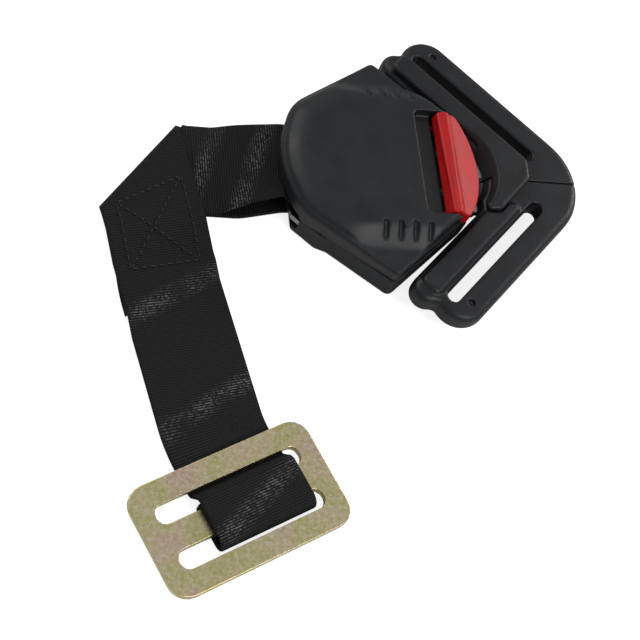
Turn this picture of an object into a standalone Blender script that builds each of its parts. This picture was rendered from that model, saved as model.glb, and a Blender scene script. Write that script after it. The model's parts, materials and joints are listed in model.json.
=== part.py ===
"""Child seat belt buckle: a two-tongue harness buckle on a webbing strap with a steel three-bar slide.

Frame: the origin is on the outer face of the rear cover, +X points out of the mouth along the tongues,
+Z out of the front cover. All sizes below are in millimetres and become metres when a mesh is made.
"""
import math

import bmesh
import bpy
from mathutils import Matrix, Vector

MM = 0.001
GAP = 0.3                # clearance between pieces that touch

# Webbing strap
WEB_WIDTH = 35.5
WEB_THICK = 1.3
WEB_SELVEDGE = 0.5       # rounding of its two edges
WEB_OFFSET = 2.2         # how far the strap sits to the +Y side of the eye
LAYER_GAP = 0.3          # between stacked layers of webbing
FOLD_X = -74.4           # where the fold line crosses the strap's centre line
FOLD_ANGLE = 51.0        # fold line, degrees from X
UNDER_DRIFT = 3.5        # how far the inner layer runs back under the outer one past the fold
DRIFT_RUN = 27.0         # length over which it does so
SQUEEZE = 3.4            # how much narrower the strap is drawn together in the eye
SQUEEZE_RUN = 22.0       # length over which it spreads again
BASE_X = -58.0           # a point of the lower layer that lies flat on the table

# Covers
MOUTH_X = 38.0           # front edge of both covers
MOUTH_HALF = 16.4        # half width of the body at the mouth
SHOULDER_X = 6.3
SHOULDER_HALF = 43.9     # half width of the body at its corners
FLANK_X = -26.6          # where the straight flanks meet the round tail
TAIL_APEX = -34.5        # corner of the tail before rounding
TAIL_R = 36.0
WALL = 2.0
PARTING_Z = 9.6          # joint between the covers
EDGE_LOW = 17.4          # edge of the domed top at the shoulders
EDGE_HIGH = 19.8         # and round the tail
CROWN_Z = 23.0           # top of the dome
SLOPE_FOOT = 36.0        # half width where the finger slopes end
SLOPE_HEAD = 23.5        # half width where they start
REAR_TAIL_X = -26.0
REAR_HALF = 43.2
LIP_Z = 3.0              # rim of the rear cover under the strap

# Grip grooves
GROOVE_X = 1.9
GROOVE_PITCH = 5.45
GROOVE_COUNT = 4
GROOVE_IN = 25.4
GROOVE_OUT = 31.3
GROOVE_WIDTH = 1.1

# Red button and its travel
BUTTON_TRAVEL = 6.0
BUTTON_BACK = 25.2       # back of the lip at rest
BUTTON_HALF = 20.6
BUTTON_FRONT_R = 32.5
BUTTON_FRONT_X = 41.5    # furthest point of the crescent face
BUTTON_TOP = 23.9
BUTTON_RIDGE = 30.6      # front of the lip, where the sloped face starts
POCKET_BACK = 17.8       # back of the travel pocket
POCKET_FLOOR = 19.4
DECK = 1.8               # thickness of the pocket's floor
SLIDE_FIT = 0.4          # sideways clearance of the button

# Steel frame
STEEL = 2.2
FRAME_Z = 5.0            # underside of the frame
FLANGE = 2.0             # thickness of the upright flanges
BLADE_HALF = 13.0
BLADE_SIDE = 0.5         # room beside the blades
FRAME_HALF = BLADE_HALF + BLADE_SIDE + FLANGE
FRAME_FRONT = 31.0
EYE_BACK = -28.0         # outer edge of the strap eye
EYE_BAR = 3.5            # bar that the strap loops round
EYE_SLOT = 4.1
EYE_SLOT_HALF = (WEB_WIDTH - SQUEEZE) / 2 + WEB_OFFSET + 0.6
EYE_HALF = EYE_SLOT_HALF + 2.4
EYE_CORNER = EYE_HALF * 0.44
FLANK_HALF = EYE_HALF + 0.35
REAR_TAIL_HALF = EYE_HALF - 2.95
REAR_STEP_HALF = EYE_HALF + 4.45
FLANGE_LOW = 12.0        # top of the flanges
FLANGE_HIGH = 17.5       # top of the flanges beside the latch

# Tongues
BLADE = 1.8
BLADE_NOSE = -1.5
BLADE_GAP = 0.3
TONGUE_PLAY = 0.8        # how far the tongues can be pushed past the latched place
LATCH_X = 8.0
LATCH_THICK = 3.0
LATCH_HALF = 5.0
LATCH_LIFT = 4.5
TONGUE_LOW = 6.0         # underside of the moulded loops
TONGUE_TOP = 14.4
TONGUE_RIM = 2.4         # rounding of the loops' outer edges
SLOT_FLARE = 0.9
RIB_LEFT_Z = 17.4
RIB_RIGHT_Z = 15.8
ARM_IN = 55.5            # the arms run at 45 degrees: x + |y| at their inner edge
ARM_OUT = 92.3           # and at their outer edge
SLOT_LINE = 75.3
SLOT_WIDTH = 4.7
SLOT_NEAR = 52.4         # x - |y| at the slot's end centres
SLOT_FAR = -21.8
TIP_R = 24.1             # round corner where the two loops meet
SEAM = 0.15              # half of the seam between the loops

# Steel slide
SLIDE_LONG = 66.2
SLIDE_SHORT = 38.5
SLIDE_THICK = 2.5
SLIDE_CORNER = 6.5
SLIDE_SLOT_LONG = 53.0
SLIDE_SLOT = 6.65
SLIDE_MID_BAR = 9.2
SLIDE_OFFSET = -5.0      # slide centre, sideways from the strap's centre line
SLIDE_TURN = 12.7        # degrees that the strap turns in its own plane above the slide

MATERIALS = {
    "housing": ((0.032, 0.034, 0.038), 0.5, 0.0),
    "tongue_moulding": ((0.034, 0.036, 0.040), 0.45, 0.0),
    "button_red": ((0.52, 0.014, 0.012), 0.4, 0.0),
    "webbing": ((0.012, 0.012, 0.014), 0.8, 0.0),
    "zinc_gold": ((0.58, 0.48, 0.24), 0.35, 1.0),
    "steel": ((0.5, 0.5, 0.52), 0.35, 1.0),
    "guide_plastic": ((0.75, 0.75, 0.72), 0.5, 0.0),
    "spring_steel": ((0.45, 0.45, 0.47), 0.3, 1.0),
}


# Scene set-up

def clear_scene():
    for item in list(bpy.data.objects):
        bpy.data.objects.remove(item, do_unlink=True)


def new_collection(name):
    collection = bpy.data.collections.new(name)
    bpy.context.scene.collection.children.link(collection)
    return collection


def new_material(node, slot):
    colour, roughness, metallic = MATERIALS[slot]
    material = bpy.data.materials.new(node)
    material.diffuse_color = (*colour, 1.0)
    material.use_nodes = True
    shader = material.node_tree.nodes["Principled BSDF"]
    shader.inputs["Base Color"].default_value = (*colour, 1.0)
    shader.inputs["Roughness"].default_value = roughness
    shader.inputs["Metallic"].default_value = metallic
    return material


clear_scene()
PARTS = new_collection("child_seat_belt_buckle")
TOOLS = new_collection("cutters")


# Solids

def mesh_object(name, bm):
    """A tool object from a bmesh in millimetres."""
    bmesh.ops.recalc_face_normals(bm, faces=bm.faces)
    if bm.calc_volume(signed=True) < 0:
        bmesh.ops.reverse_faces(bm, faces=bm.faces)
    bm.transform(Matrix.Scale(MM, 4))
    mesh = bpy.data.meshes.new(name)
    bm.to_mesh(mesh)
    bm.free()
    item = bpy.data.objects.new(name, mesh)
    TOOLS.objects.link(item)
    item.hide_render = True
    item.display_type = "WIRE"
    return item


def box(name, low, high):
    bm = bmesh.new()
    bmesh.ops.create_cube(bm, size=1.0)
    size = [b - a for a, b in zip(low, high)]
    centre = [(a + b) / 2 for a, b in zip(low, high)]
    bm.transform(Matrix.Translation(centre) @ Matrix.Diagonal((*size, 1.0)))
    return mesh_object(name, bm)


def rod(name, start, end, radius, sides=16, end_radius=None):
    """A cylinder or cone from start to end."""
    start, end = Vector(start), Vector(end)
    bm = bmesh.new()
    bmesh.ops.create_cone(bm, cap_ends=True, segments=sides, radius1=radius,
                          radius2=radius if end_radius is None else end_radius,
                          depth=(end - start).length)
    turn = (end - start).to_track_quat("Z", "Y").to_matrix().to_4x4()
    bm.transform(Matrix.Translation((start + end) / 2) @ turn)
    return mesh_object(name, bm)


def curve_mesh(name, curve):
    """The closed mesh of a curve, as a tool object."""
    item = bpy.data.objects.new(name, curve)
    bpy.context.scene.collection.objects.link(item)
    evaluated = item.evaluated_get(bpy.context.evaluated_depsgraph_get())
    mesh = bpy.data.meshes.new_from_object(evaluated)
    bpy.data.objects.remove(item)
    bm = bmesh.new()
    bm.from_mesh(mesh)
    bpy.data.meshes.remove(mesh)
    bmesh.ops.remove_doubles(bm, verts=bm.verts, dist=0.001)
    return mesh_object(name, bm)


def prism(name, loops, low, high, edge=0.0, segments=2):
    """A flat outline, with any holes, from z = low to high, its rims rounded by edge."""
    curve = bpy.data.curves.new(name, "CURVE")
    curve.dimensions = "2D"
    curve.fill_mode = "BOTH"
    curve.extrude = (high - low) / 2
    for loop in loops:
        spline = curve.splines.new("POLY")
        spline.points.add(len(loop) - 1)
        for point, (x, y) in zip(spline.points, loop):
            point.co = (x, y, 0.0, 1.0)
        spline.use_cyclic_u = True
    item = curve_mesh(name, curve)
    item.data.transform(Matrix.Translation((0, 0, (low + high) / 2 * MM)))
    if edge:
        round_rims(item, edge, segments)
    return item


def round_rims(item, width, segments=2, angle=55):
    bevel = item.modifiers.new("rims", "BEVEL")
    bevel.width = width * MM
    bevel.segments = segments
    bevel.limit_method = "ANGLE"
    bevel.angle_limit = math.radians(angle)


def side_prism(name, outline, low, high):
    """An outline in X and Z, from y = low to high."""
    item = prism(name, [outline], -high, -low)
    item.data.transform(Matrix(((1, 0, 0, 0), (0, 0, -1, 0), (0, 1, 0, 0), (0, 0, 0, 1))))
    return item


def loft(name, rings):
    """A solid through rings of equally many points."""
    bm = bmesh.new()
    rows = [[bm.verts.new(point) for point in ring] for ring in rings]
    count = len(rows[0])
    for lower, upper in zip(rows, rows[1:]):
        for i in range(count):
            j = (i + 1) % count
            bm.faces.new((lower[i], lower[j], upper[j], upper[i]))
    bmesh.ops.triangulate(bm, faces=bm.faces)
    bm.faces.new(list(reversed(rows[0])))
    bm.faces.new(rows[-1])
    return mesh_object(name, bm)


def combine(item, operation, others):
    for other in others:
        step = item.modifiers.new(operation.lower(), "BOOLEAN")
        step.operation = operation
        step.solver = "EXACT"
        step.object = other
    return item


def fuse(item, *others):
    return combine(item, "UNION", others)


def cut(item, *others):
    return combine(item, "DIFFERENCE", others)


def part(name, item, slot, origin=(0, 0, 0), smooth=35):
    """Names a finished solid as a node of the buckle and sets its origin."""
    item.name = name
    item.data.name = name
    item.data.transform(Matrix.Translation([-v * MM for v in origin]))
    item.location = [v * MM for v in origin]
    TOOLS.objects.unlink(item)
    PARTS.objects.link(item)
    item.hide_render = False
    item.display_type = "TEXTURED"
    item.data.materials.append(new_material(name, slot))
    item.data.shade_smooth()
    item.data.set_sharp_from_angle(angle=math.radians(smooth))
    return item


# Outlines

def arc(x, y, radius, start, end, steps):
    """Points on an arc, angles in degrees."""
    points = []
    for i in range(steps + 1):
        a = math.radians(start + (end - start) * i / steps)
        points.append((x + radius * math.cos(a), y + radius * math.sin(a)))
    return points


def rounded(corners, steps=3):
    """A closed outline through corners (x, y, radius), steps chords to each round corner."""
    points = []
    for i, (x, y, radius) in enumerate(corners):
        if radius == 0:
            points.append((x, y))
            continue
        here = Vector((x, y))
        before = (Vector(corners[i - 1][:2]) - here).normalized()
        after = (Vector(corners[(i + 1) % len(corners)][:2]) - here).normalized()
        half = before.angle(after) / 2
        centre = here + (before + after).normalized() * radius / math.sin(half)
        first = here + before * radius / math.tan(half) - centre
        last = here + after * radius / math.tan(half) - centre
        swing = first.angle_signed(last)
        for k in range(steps + 1):
            a = -swing * k / steps
            c, s = math.cos(a), math.sin(a)
            points.append((centre.x + first.x * c - first.y * s,
                           centre.y + first.x * s + first.y * c))
    return points


def inset(corners, distances):
    """Corners moved inwards; distances holds one value for each edge, from its first corner on."""
    count = len(corners)
    lines = []
    for i in range(count):
        a, b = Vector(corners[i][:2]), Vector(corners[(i + 1) % count][:2])
        along = (b - a).normalized()
        lines.append((a + Vector((-along.y, along.x)) * distances[i], along))
    moved = []
    for i in range(count):
        (p, u), (q, v) = lines[i - 1], lines[i]
        t = (q - p).cross(v) / u.cross(v)
        x, y = p + u * t
        step = (distances[i - 1] + distances[i]) / 2
        radius = corners[i][2] - step if u.cross(v) > 0 else corners[i][2] + step
        moved.append((x, y, max(radius, 0.2)))
    return moved


def ring(corners, distances, z, steps=3):
    return [(x, y, z) for x, y in rounded(inset(corners, distances), steps)]


def level_ring(corners, distance, z, steps=3):
    return ring(corners, [distance] * len(corners), z, steps)


def mirrored(outline):
    return [(x, -y) for x, y in reversed(outline)]


# Covers

PEG_PLACES = [(8.0, 33.0), (24.0, 23.0)]       # screw bosses, one pair on each side
BOSS_R = 3.0
SCREW_R = 1.1
SCREW_HOLE_R = SCREW_R + GAP
SCREW_HEAD_R = 2.3
SCREW_HEAD = 1.0
SCREW_TOP = 14.6
DOME_RUN = 15.5                                 # how far in from the edge the dome is level
ROOF = 1.8                                      # thickness of the dome

BODY = [(MOUTH_X, -MOUTH_HALF, 1.0), (MOUTH_X, MOUTH_HALF, 1.0), (SHOULDER_X, SHOULDER_HALF, 2.5),
        (FLANK_X, FLANK_HALF, 16.0), (TAIL_APEX, 0.0, TAIL_R), (FLANK_X, -FLANK_HALF, 16.0),
        (SHOULDER_X, -SHOULDER_HALF, 2.5)]


def both_sides(places):
    return [(x, y * side) for side in (1, -1) for x, y in places]


def smooth_step(value, low, high):
    share = min(max((value - low) / (high - low), 0.0), 1.0)
    return share * share * (3 - 2 * share)


def edge_z(x):
    """Height of the dome's edge, which rises from the shoulders to the tail."""
    return EDGE_LOW + (EDGE_HIGH - EDGE_LOW) * smooth_step(-x, -SHOULDER_X, -FLANK_X)


def dome_z(x, y, depth):
    """Height of the domed top at a place that is depth inside the edge."""
    edge = edge_z(x)
    run = 4.0 + 7.0 * smooth_step(-x, -MOUTH_X / 2, 0.0)
    rise = 1.0 - (1.0 - min(depth / run, 1.0)) ** 2
    over_edge = edge + (CROWN_Z - edge) * rise
    slope = EDGE_LOW + 0.2 + (CROWN_Z - EDGE_LOW - 0.2) * (1 - smooth_step(abs(y), SLOPE_HEAD, SLOPE_FOOT))
    return min(over_edge, slope)


def closer(outline, extra):
    """The outline with extra points along each long side."""
    points = []
    for i, (x, y) in enumerate(outline):
        ahead = outline[(i + 1) % len(outline)]
        points.append((x, y))
        if i % (CORNER_STEPS + 1) == CORNER_STEPS:
            for k in range(1, extra + 1):
                share = k / (extra + 1)
                points.append((x + (ahead[0] - x) * share, y + (ahead[1] - y) * share))
    return points


CORNER_STEPS = 6


def body_ring(distances, extra):
    return closer(rounded(inset(BODY, distances), CORNER_STEPS), extra)


def dome_insets(depth, front=0.0):
    """The mouth and the front sides close in more slowly, so that the rings never cross."""
    mouth = front + min(depth, 1.0) + 0.08 * depth
    return [mouth, 0.7 * depth, depth, depth, depth, depth, 0.7 * depth]


def edge_ring(depth, level, extra=6, front=0.0):
    """A ring near the dome's edge, level above it."""
    return [(x, y, edge_z(x) + level) for x, y in body_ring(dome_insets(depth, front), extra)]


def dome_ring(depth, drop=0.0, extra=6, front=0.0):
    """A ring on the dome, less drop; the innermost one is level."""
    outline = body_ring(dome_insets(depth, front), extra)
    if depth >= DOME_RUN:
        return [(x, y, CROWN_Z - drop) for x, y in outline]
    return [(x, y, dome_z(x, y, depth) - drop) for x, y in outline]


def flat_ring(distances, z, extra=6):
    return [(x, y, z) for x, y in body_ring(distances, extra)]


def front_cover():
    foot = [0.2, 0.4, 1.8, 0.9, 0.9, 1.8, 0.4]
    shell = loft("shell", [flat_ring(foot, PARTING_Z + GAP), edge_ring(0.0, -2.2), edge_ring(0.1, -0.8),
                           edge_ring(0.5, -0.2), edge_ring(1.1, 0.05)]
                 + [dome_ring(depth) for depth in (2.2, 3.4, 4.8, 6.4, 8.4, 10.6, 13.0, DOME_RUN)])
    hollow = [value + WALL for value in foot]
    cut(shell, loft("hollow", [flat_ring(hollow, PARTING_Z - 1, 2), edge_ring(WALL, -3.4, 2, WALL)]
                    + [dome_ring(depth, ROOF, 2, WALL) for depth in (WALL + 2.6, 6.5, 10.0, DOME_RUN)]))
    tub_back = POCKET_BACK - 1.5
    side = BUTTON_HALF + SLIDE_FIT
    opening_x = BUTTON_BACK - GAP
    lip_top = POCKET_FLOOR - DECK - WALL
    edge_run = (MOUTH_X - SHOULDER_X) / (SHOULDER_HALF - MOUTH_HALF)
    slope_x = MOUTH_X - (side + DECK + 1 - MOUTH_HALF) * edge_run
    tub = [(tub_back, -side - DECK), (slope_x, -side - DECK), (MOUTH_X - 0.6, -MOUTH_HALF + 0.3),
           (MOUTH_X - 0.6, MOUTH_HALF - 0.3), (slope_x, side + DECK), (tub_back, side + DECK)]
    fuse(shell, prism("tub", [tub], FLANGE_LOW + GAP, CROWN_Z - 1.4))
    for x, y in both_sides(PEG_PLACES):
        fuse(shell, rod("boss", (x, y, PARTING_Z + GAP), (x, y, EDGE_LOW - 0.3), BOSS_R, 14))
    post = (LATCH_X + LATCH_THICK / 2, 0)
    fuse(shell, rod("spring_post", (*post, LATCH_TOP + LATCH_LIFT + 0.4), (*post, CROWN_Z - 1.0), 1.4, 12))
    far = MOUTH_X + 6
    pocket = [(POCKET_BACK, -side, 2.5), (far, -side, 0.3), (far, side, 0.3), (POCKET_BACK, side, 2.5)]
    under_x = tub_back + WALL
    strap_half = EYE_SLOT_HALF + 0.6
    cut(shell, prism("pocket", [rounded(pocket)], POCKET_FLOOR, CROWN_Z + 5),
        box("opening", (opening_x, -side, lip_top), (far, side, CROWN_Z + 5)),
        prism("under_deck", [under_deck(under_x, side)], PARTING_Z, POCKET_FLOOR - DECK),
        box("mouth", (MOUTH_X - 5, -BLADE_HALF - 0.6, PARTING_Z - 1), (far, BLADE_HALF + 0.6, FLANGE_LOW + 0.6)),
        box("tail_arch", (TAIL_APEX - 4, -strap_half, PARTING_Z - 1),
            (EYE_BACK + 7.0, strap_half, STRAP_UPPER_Z + WEB_THICK / 2 + 1.0)))
    for y in (-ARM_OUTER - 0.4, ARM_INNER - 0.4):
        cut(shell, box("arm_slot", (tub_back - 1, y, PARTING_Z), (under_x + 1, y + ARM_WIDTH + 0.8, 17.1)))
    for x, y in both_sides(PEG_PLACES):
        cut(shell, rod("screw_hole", (x, y, PARTING_Z), (x, y, SCREW_TOP + 0.5), SCREW_HOLE_R, 10))
    for i in range(GROOVE_COUNT):
        for side_sign in (1, -1):
            cut(shell, groove(GROOVE_X + i * GROOVE_PITCH, side_sign))
    part("front_cover", shell, "housing")


def under_deck(back, side):
    """Plan of the room below the deck, inside the body's front edges."""
    room = inset(BODY, [1.6] + [1.8] * 6)
    front, shoulder = Vector(room[1][:2]), Vector(room[2][:2])
    turn_x = front.lerp(shoulder, (side - front.y) / (shoulder.y - front.y)).x
    return [(back, -side), (turn_x, -side), (front.x, -front.y), (front.x, front.y), (turn_x, side), (back, side)]


def groove(x, side):
    """One finger groove, sunk in the finger slope and deeper at its inner end."""
    start = Vector((x, side * GROOVE_IN, dome_z(x, GROOVE_IN, DOME_RUN) - 0.35))
    end = Vector((x, side * GROOVE_OUT, dome_z(x, GROOVE_OUT, DOME_RUN) + 0.1))
    return rod("groove", start, end, GROOVE_WIDTH / 2 + 0.2, 10, GROOVE_WIDTH / 2)


REAR = [(MOUTH_X, -MOUTH_HALF, 1.0), (MOUTH_X, MOUTH_HALF, 1.0), (SHOULDER_X + 1.2, REAR_HALF, 2.5),
        (-13.7, REAR_STEP_HALF + 1.5, 1.0), (-17.9, REAR_STEP_HALF, 1.0), (REAR_TAIL_X, REAR_TAIL_HALF, 2.0),
        (REAR_TAIL_X, -REAR_TAIL_HALF, 2.0), (-17.9, -REAR_STEP_HALF, 1.0), (-13.7, -REAR_STEP_HALF - 1.5, 1.0),
        (SHOULDER_X + 1.2, -REAR_HALF, 2.5)]


def rear_cover():
    steps = 4
    shell = loft("shell", [level_ring(REAR, 1.4, 0.0, steps), level_ring(REAR, 0.4, 0.35, steps),
                           level_ring(REAR, 0.0, 1.4, steps), level_ring(REAR, 0.0, PARTING_Z, steps)])
    cut(shell, prism("cavity", [rounded(inset(REAR, [WALL] * 10))], WALL, PARTING_Z + 1),
        box("tail", (REAR_TAIL_X - 3, -EYE_SLOT_HALF - 0.6, LIP_Z), (EYE_BACK + 7.0, EYE_SLOT_HALF + 0.6, 12)),
        prism("eye_room", [rounded(eye_outline(0.4))], FRAME_Z - GAP, FRAME_Z + STEEL + GAP),
        box("mouth", (MOUTH_X - 5, -BLADE_HALF - 0.6, BLADE_LOW - 0.6), (MOUTH_X + 3, BLADE_HALF + 0.6, 12)))
    rail_top = FRAME_Z - GAP
    for y in (-11.0, 9.0):
        fuse(shell, box("rail", (-17.0, y, WALL - 0.5), (FRAME_FRONT - 1.0, y + WALL, rail_top)))
    for x, y in both_sides(PEG_PLACES):
        fuse(shell, rod("boss", (x, y, WALL - 0.5), (x, y, PARTING_Z), BOSS_R, 14))
    for x, y in both_sides(PEG_PLACES):
        cut(shell, rod("screw_hole", (x, y, -1), (x, y, PARTING_Z + 1), SCREW_HOLE_R, 10),
            rod("counterbore", (x, y, -1), (x, y, SCREW_HEAD + 0.5), SCREW_HEAD_R + GAP, 14))
    part("rear_cover", shell, "housing")


def cover_screws():
    """Four screws with domed heads in the rear cover's counterbores."""
    for i, (x, y) in enumerate(both_sides(PEG_PLACES)):
        head = rod("head", (x, y, 0.2), (x, y, SCREW_HEAD + 0.2), SCREW_HEAD_R - 0.3, 14, SCREW_HEAD_R)
        fuse(head, rod("shank", (x, y, SCREW_HEAD), (x, y, SCREW_TOP), SCREW_R, 10))
        cut(head, box("drive", (x - 1.4, y - 0.3, 0), (x + 1.4, y + 0.3, 0.7)),
            box("drive", (x - 0.3, y - 1.4, 0), (x + 0.3, y + 1.4, 0.7)))
        part(f"cover_screw_{i + 1}", head, "steel", (x, y, 0))


# Steel frame and what it carries

BLADE_LOW = FRAME_Z + STEEL + GAP                   # underside of the lower blade
UPPER_BLADE = BLADE_LOW + BLADE + BLADE_GAP
BLADE_TOP = UPPER_BLADE + BLADE
LATCH_TIP = BLADE_LOW - 0.2
EAR_Z = FLANGE_LOW + 0.5                            # underside of the latch's ears
EAR = 1.8
LATCH_TOP = EAR_Z + EAR
ARM_INNER = FRAME_HALF + 1.1
ARM_WIDTH = 2.0
ARM_OUTER = ARM_INNER + ARM_WIDTH
GUIDE_BACK = LATCH_X - 4.4
GUIDE_FRONT = LATCH_X + LATCH_THICK + 4.4
RIVET_PLACES = [GUIDE_BACK + 2.0, GUIDE_FRONT - 2.0]
RIVET_Z = 15.0
RIVET_R = 1.1


def eye_outline(spread=0.0):
    """Corners of the frame's plate, with the strap eye at its back."""
    neck = EYE_BACK + EYE_BAR + EYE_SLOT + 4.0
    corners = [(EYE_BACK, EYE_HALF, EYE_CORNER), (EYE_BACK, -EYE_HALF, EYE_CORNER), (neck, -EYE_HALF, 3.0),
               (neck + 7.0, -FRAME_HALF, 3.0), (FRAME_FRONT, -FRAME_HALF, 1.5),
               (FRAME_FRONT, FRAME_HALF, 1.5), (neck + 7.0, FRAME_HALF, 3.0), (neck, EYE_HALF, 3.0)]
    return inset(corners, [-spread] * len(corners))


def base_frame():
    eye_front = EYE_BACK + EYE_BAR + EYE_SLOT
    neck = eye_front + 4.0
    outline = eye_outline()
    slot_back = EYE_BACK + EYE_BAR
    slot = [(slot_back, -EYE_SLOT_HALF, 1.5), (eye_front, -EYE_SLOT_HALF, 1.5),
            (eye_front, EYE_SLOT_HALF, 1.5), (slot_back, EYE_SLOT_HALF, 1.5)]
    relief = LATCH_HALF + 0.6
    window = [(LATCH_X - 0.6, -relief, 0.6), (LATCH_X + LATCH_THICK + 0.6, -relief, 0.6),
              (LATCH_X + LATCH_THICK + 0.6, relief, 0.6), (LATCH_X - 0.6, relief, 0.6)]
    plate = prism("frame_plate", [rounded(outline), rounded(slot), rounded(window, 2)],
                  FRAME_Z, FRAME_Z + STEEL)
    notch = [(LATCH_X - GAP, FLANGE_LOW + 0.2), (LATCH_X + LATCH_THICK + GAP, FLANGE_LOW + 0.2)]
    profile = [(neck + 8.0, FRAME_Z + 0.5), (FRAME_FRONT - 2.0, FRAME_Z + 0.5),
               (FRAME_FRONT - 2.0, FLANGE_LOW - 2.5), (FRAME_FRONT - 4.5, FLANGE_LOW),
               (GUIDE_FRONT + 0.5, FLANGE_LOW), (GUIDE_FRONT, FLANGE_HIGH),
               (notch[1][0], FLANGE_HIGH), notch[1], notch[0], (notch[0][0], FLANGE_HIGH),
               (GUIDE_BACK, FLANGE_HIGH), (GUIDE_BACK - 0.5, FLANGE_LOW),
               (neck + 10.5, FLANGE_LOW), (neck + 8.0, FLANGE_LOW - 2.5)]
    for low in (-FRAME_HALF, FRAME_HALF - FLANGE):
        fuse(plate, side_prism("flange", profile, low, low + FLANGE))
    fuse(plate, box("spring_tab", (EJECTOR_STOP - FLANGE, -4.0, FRAME_Z + 0.5), (EJECTOR_STOP, 4.0, BLADE_TOP)))
    for x in RIVET_PLACES:
        cut(plate, rod("rivet_hole", (x, -EYE_HALF, RIVET_Z), (x, EYE_HALF, RIVET_Z), RIVET_R + 0.1, 12))
    part("base_frame", plate, "steel")


def latch_guide():
    """Moulded block between the flanges; the latch slides in its cross slot."""
    half = FRAME_HALF - FLANGE - GAP
    low = BLADE_TOP + 0.5
    top = CROWN_Z - 2.1
    block = box("guide", (GUIDE_BACK, -half, low), (GUIDE_FRONT, half, top))
    round_rims(block, 0.6, 1)
    cut(block, box("latch_slot", (LATCH_X - GAP, -half - 1, low - 1),
                   (LATCH_X + LATCH_THICK + GAP, half + 1, LATCH_TOP + LATCH_LIFT + 0.4)),
        rod("spring_well", (LATCH_X + LATCH_THICK / 2, 0, low), (LATCH_X + LATCH_THICK / 2, 0, top + 1), 3.0, 16))
    for x in RIVET_PLACES:
        cut(block, rod("rivet_hole", (x, -EYE_HALF, RIVET_Z), (x, EYE_HALF, RIVET_Z), RIVET_R + GAP, 12))
    part("latch_guide", block, "guide_plastic")


def guide_rivets():
    """Rivets that hold the guide between the flanges."""
    inner = FRAME_HALF - FLANGE - 4.0
    for i, (x, side) in enumerate([(x, side) for x in RIVET_PLACES for side in (1, -1)]):
        shank = rod("rivet", (x, side * inner, RIVET_Z), (x, side * (FRAME_HALF + 0.4), RIVET_Z), RIVET_R - 0.2, 12)
        fuse(shank, rod("head", (x, side * (FRAME_HALF + 0.1), RIVET_Z),
                        (x, side * (FRAME_HALF + 0.7), RIVET_Z), RIVET_R + 0.7, 12, RIVET_R))
        part(f"guide_rivet_{i + 1}", shank, "steel", (x, side * FRAME_HALF, RIVET_Z))


def latch_plate():
    """Cross-shaped steel latch: its foot drops through both blades, its ears ride on the button's ramps."""
    ear_half = ARM_OUTER
    outline = [(-ear_half, LATCH_TOP, 0.3), (-ear_half, EAR_Z, 0.3), (-LATCH_HALF, EAR_Z, 0.4),
               (-LATCH_HALF, LATCH_TIP, 0.8), (LATCH_HALF, LATCH_TIP, 0.8), (LATCH_HALF, EAR_Z, 0.4),
               (ear_half, EAR_Z, 0.3), (ear_half, LATCH_TOP, 0.3)]
    plate = prism("latch", [rounded(outline, 2)], LATCH_X, LATCH_X + LATCH_THICK)
    turn = Matrix(((0, 0, 1, 0), (1, 0, 0, 0), (0, 1, 0, 0), (0, 0, 0, 1)))
    plate.data.transform(turn)
    part("latch_plate", plate, "steel", (LATCH_X + LATCH_THICK / 2, 0, EAR_Z))


EJECTOR_FACE = BLADE_NOSE - GAP
EJECTOR_LONG = 6.5
EJECTOR_STOP = -16.0


def ejector():
    """Moulded slide behind the blades, with a pocket for its spring."""
    back = EJECTOR_FACE - EJECTOR_LONG
    half = FRAME_HALF - FLANGE - GAP
    outline = [(back, -half, 1.0), (EJECTOR_FACE, -half, 1.0), (EJECTOR_FACE, half, 1.0), (back, half, 1.0)]
    block = prism("ejector", [rounded(outline, 2)], BLADE_LOW, BLADE_TOP + 0.1)
    middle = (BLADE_LOW + BLADE_TOP) / 2
    cut(block, rod("spring_pocket", (back - 1, 0, middle), (back + 3.0, 0, middle), 1.7, 14),
        box("relief", (back - 1, 5.0, BLADE_LOW + 1), (back + 3.5, half - 1.5, BLADE_TOP + 1)),
        box("relief", (back - 1, -half + 1.5, BLADE_LOW + 1), (back + 3.5, -5.0, BLADE_TOP + 1)))
    part("ejector", block, "guide_plastic", (EJECTOR_FACE, 0, middle))


def coil(name, start, end, radius, wire, turns):
    """A compression spring between two points."""
    start, end = Vector(start), Vector(end)
    axis = (end - start).normalized()
    side = axis.orthogonal().normalized()
    other = axis.cross(side)
    length = (end - start).length - wire
    steps = 8
    curve = bpy.data.curves.new(name, "CURVE")
    curve.dimensions = "3D"
    curve.bevel_depth = wire / 2
    curve.bevel_resolution = 2
    curve.use_fill_caps = True
    spline = curve.splines.new("POLY")
    count = int(turns * steps)
    spline.points.add(count)
    for i in range(count + 1):
        share = i / count
        angle = 2 * math.pi * turns * share
        place = start + axis * (wire / 2 + length * share)
        place += (side * math.cos(angle) + other * math.sin(angle)) * radius
        spline.points[i].co = (*place, 1.0)
    return part(name, curve_mesh(name, curve), "spring_steel", tuple(start))


def springs():
    middle = LATCH_X + LATCH_THICK / 2
    coil("latch_spring", (middle, 0, LATCH_TOP + GAP), (middle, 0, CROWN_Z - 1.8 - GAP), 2.2, 0.45, 5)
    height = (BLADE_LOW + BLADE_TOP) / 2
    back = EJECTOR_FACE - EJECTOR_LONG + 3.0
    coil("ejector_spring", (EJECTOR_STOP + GAP, 0, height), (back - GAP, 0, height), 1.3, 0.4, 7)
    wall = POCKET_BACK - 1.5 + WALL
    for name, y in (("button_spring_left", SPRING_Y), ("button_spring_right", -SPRING_Y)):
        coil(name, (wall + GAP, y, SPRING_Z), (SEAT_X - GAP, y, SPRING_Z), 1.6, 0.45, 6)


# Red button

SEAT_X = 29.6            # back face of the button's spring seat
SPRING_Y = 8.0
SPRING_Z = 13.7


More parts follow.
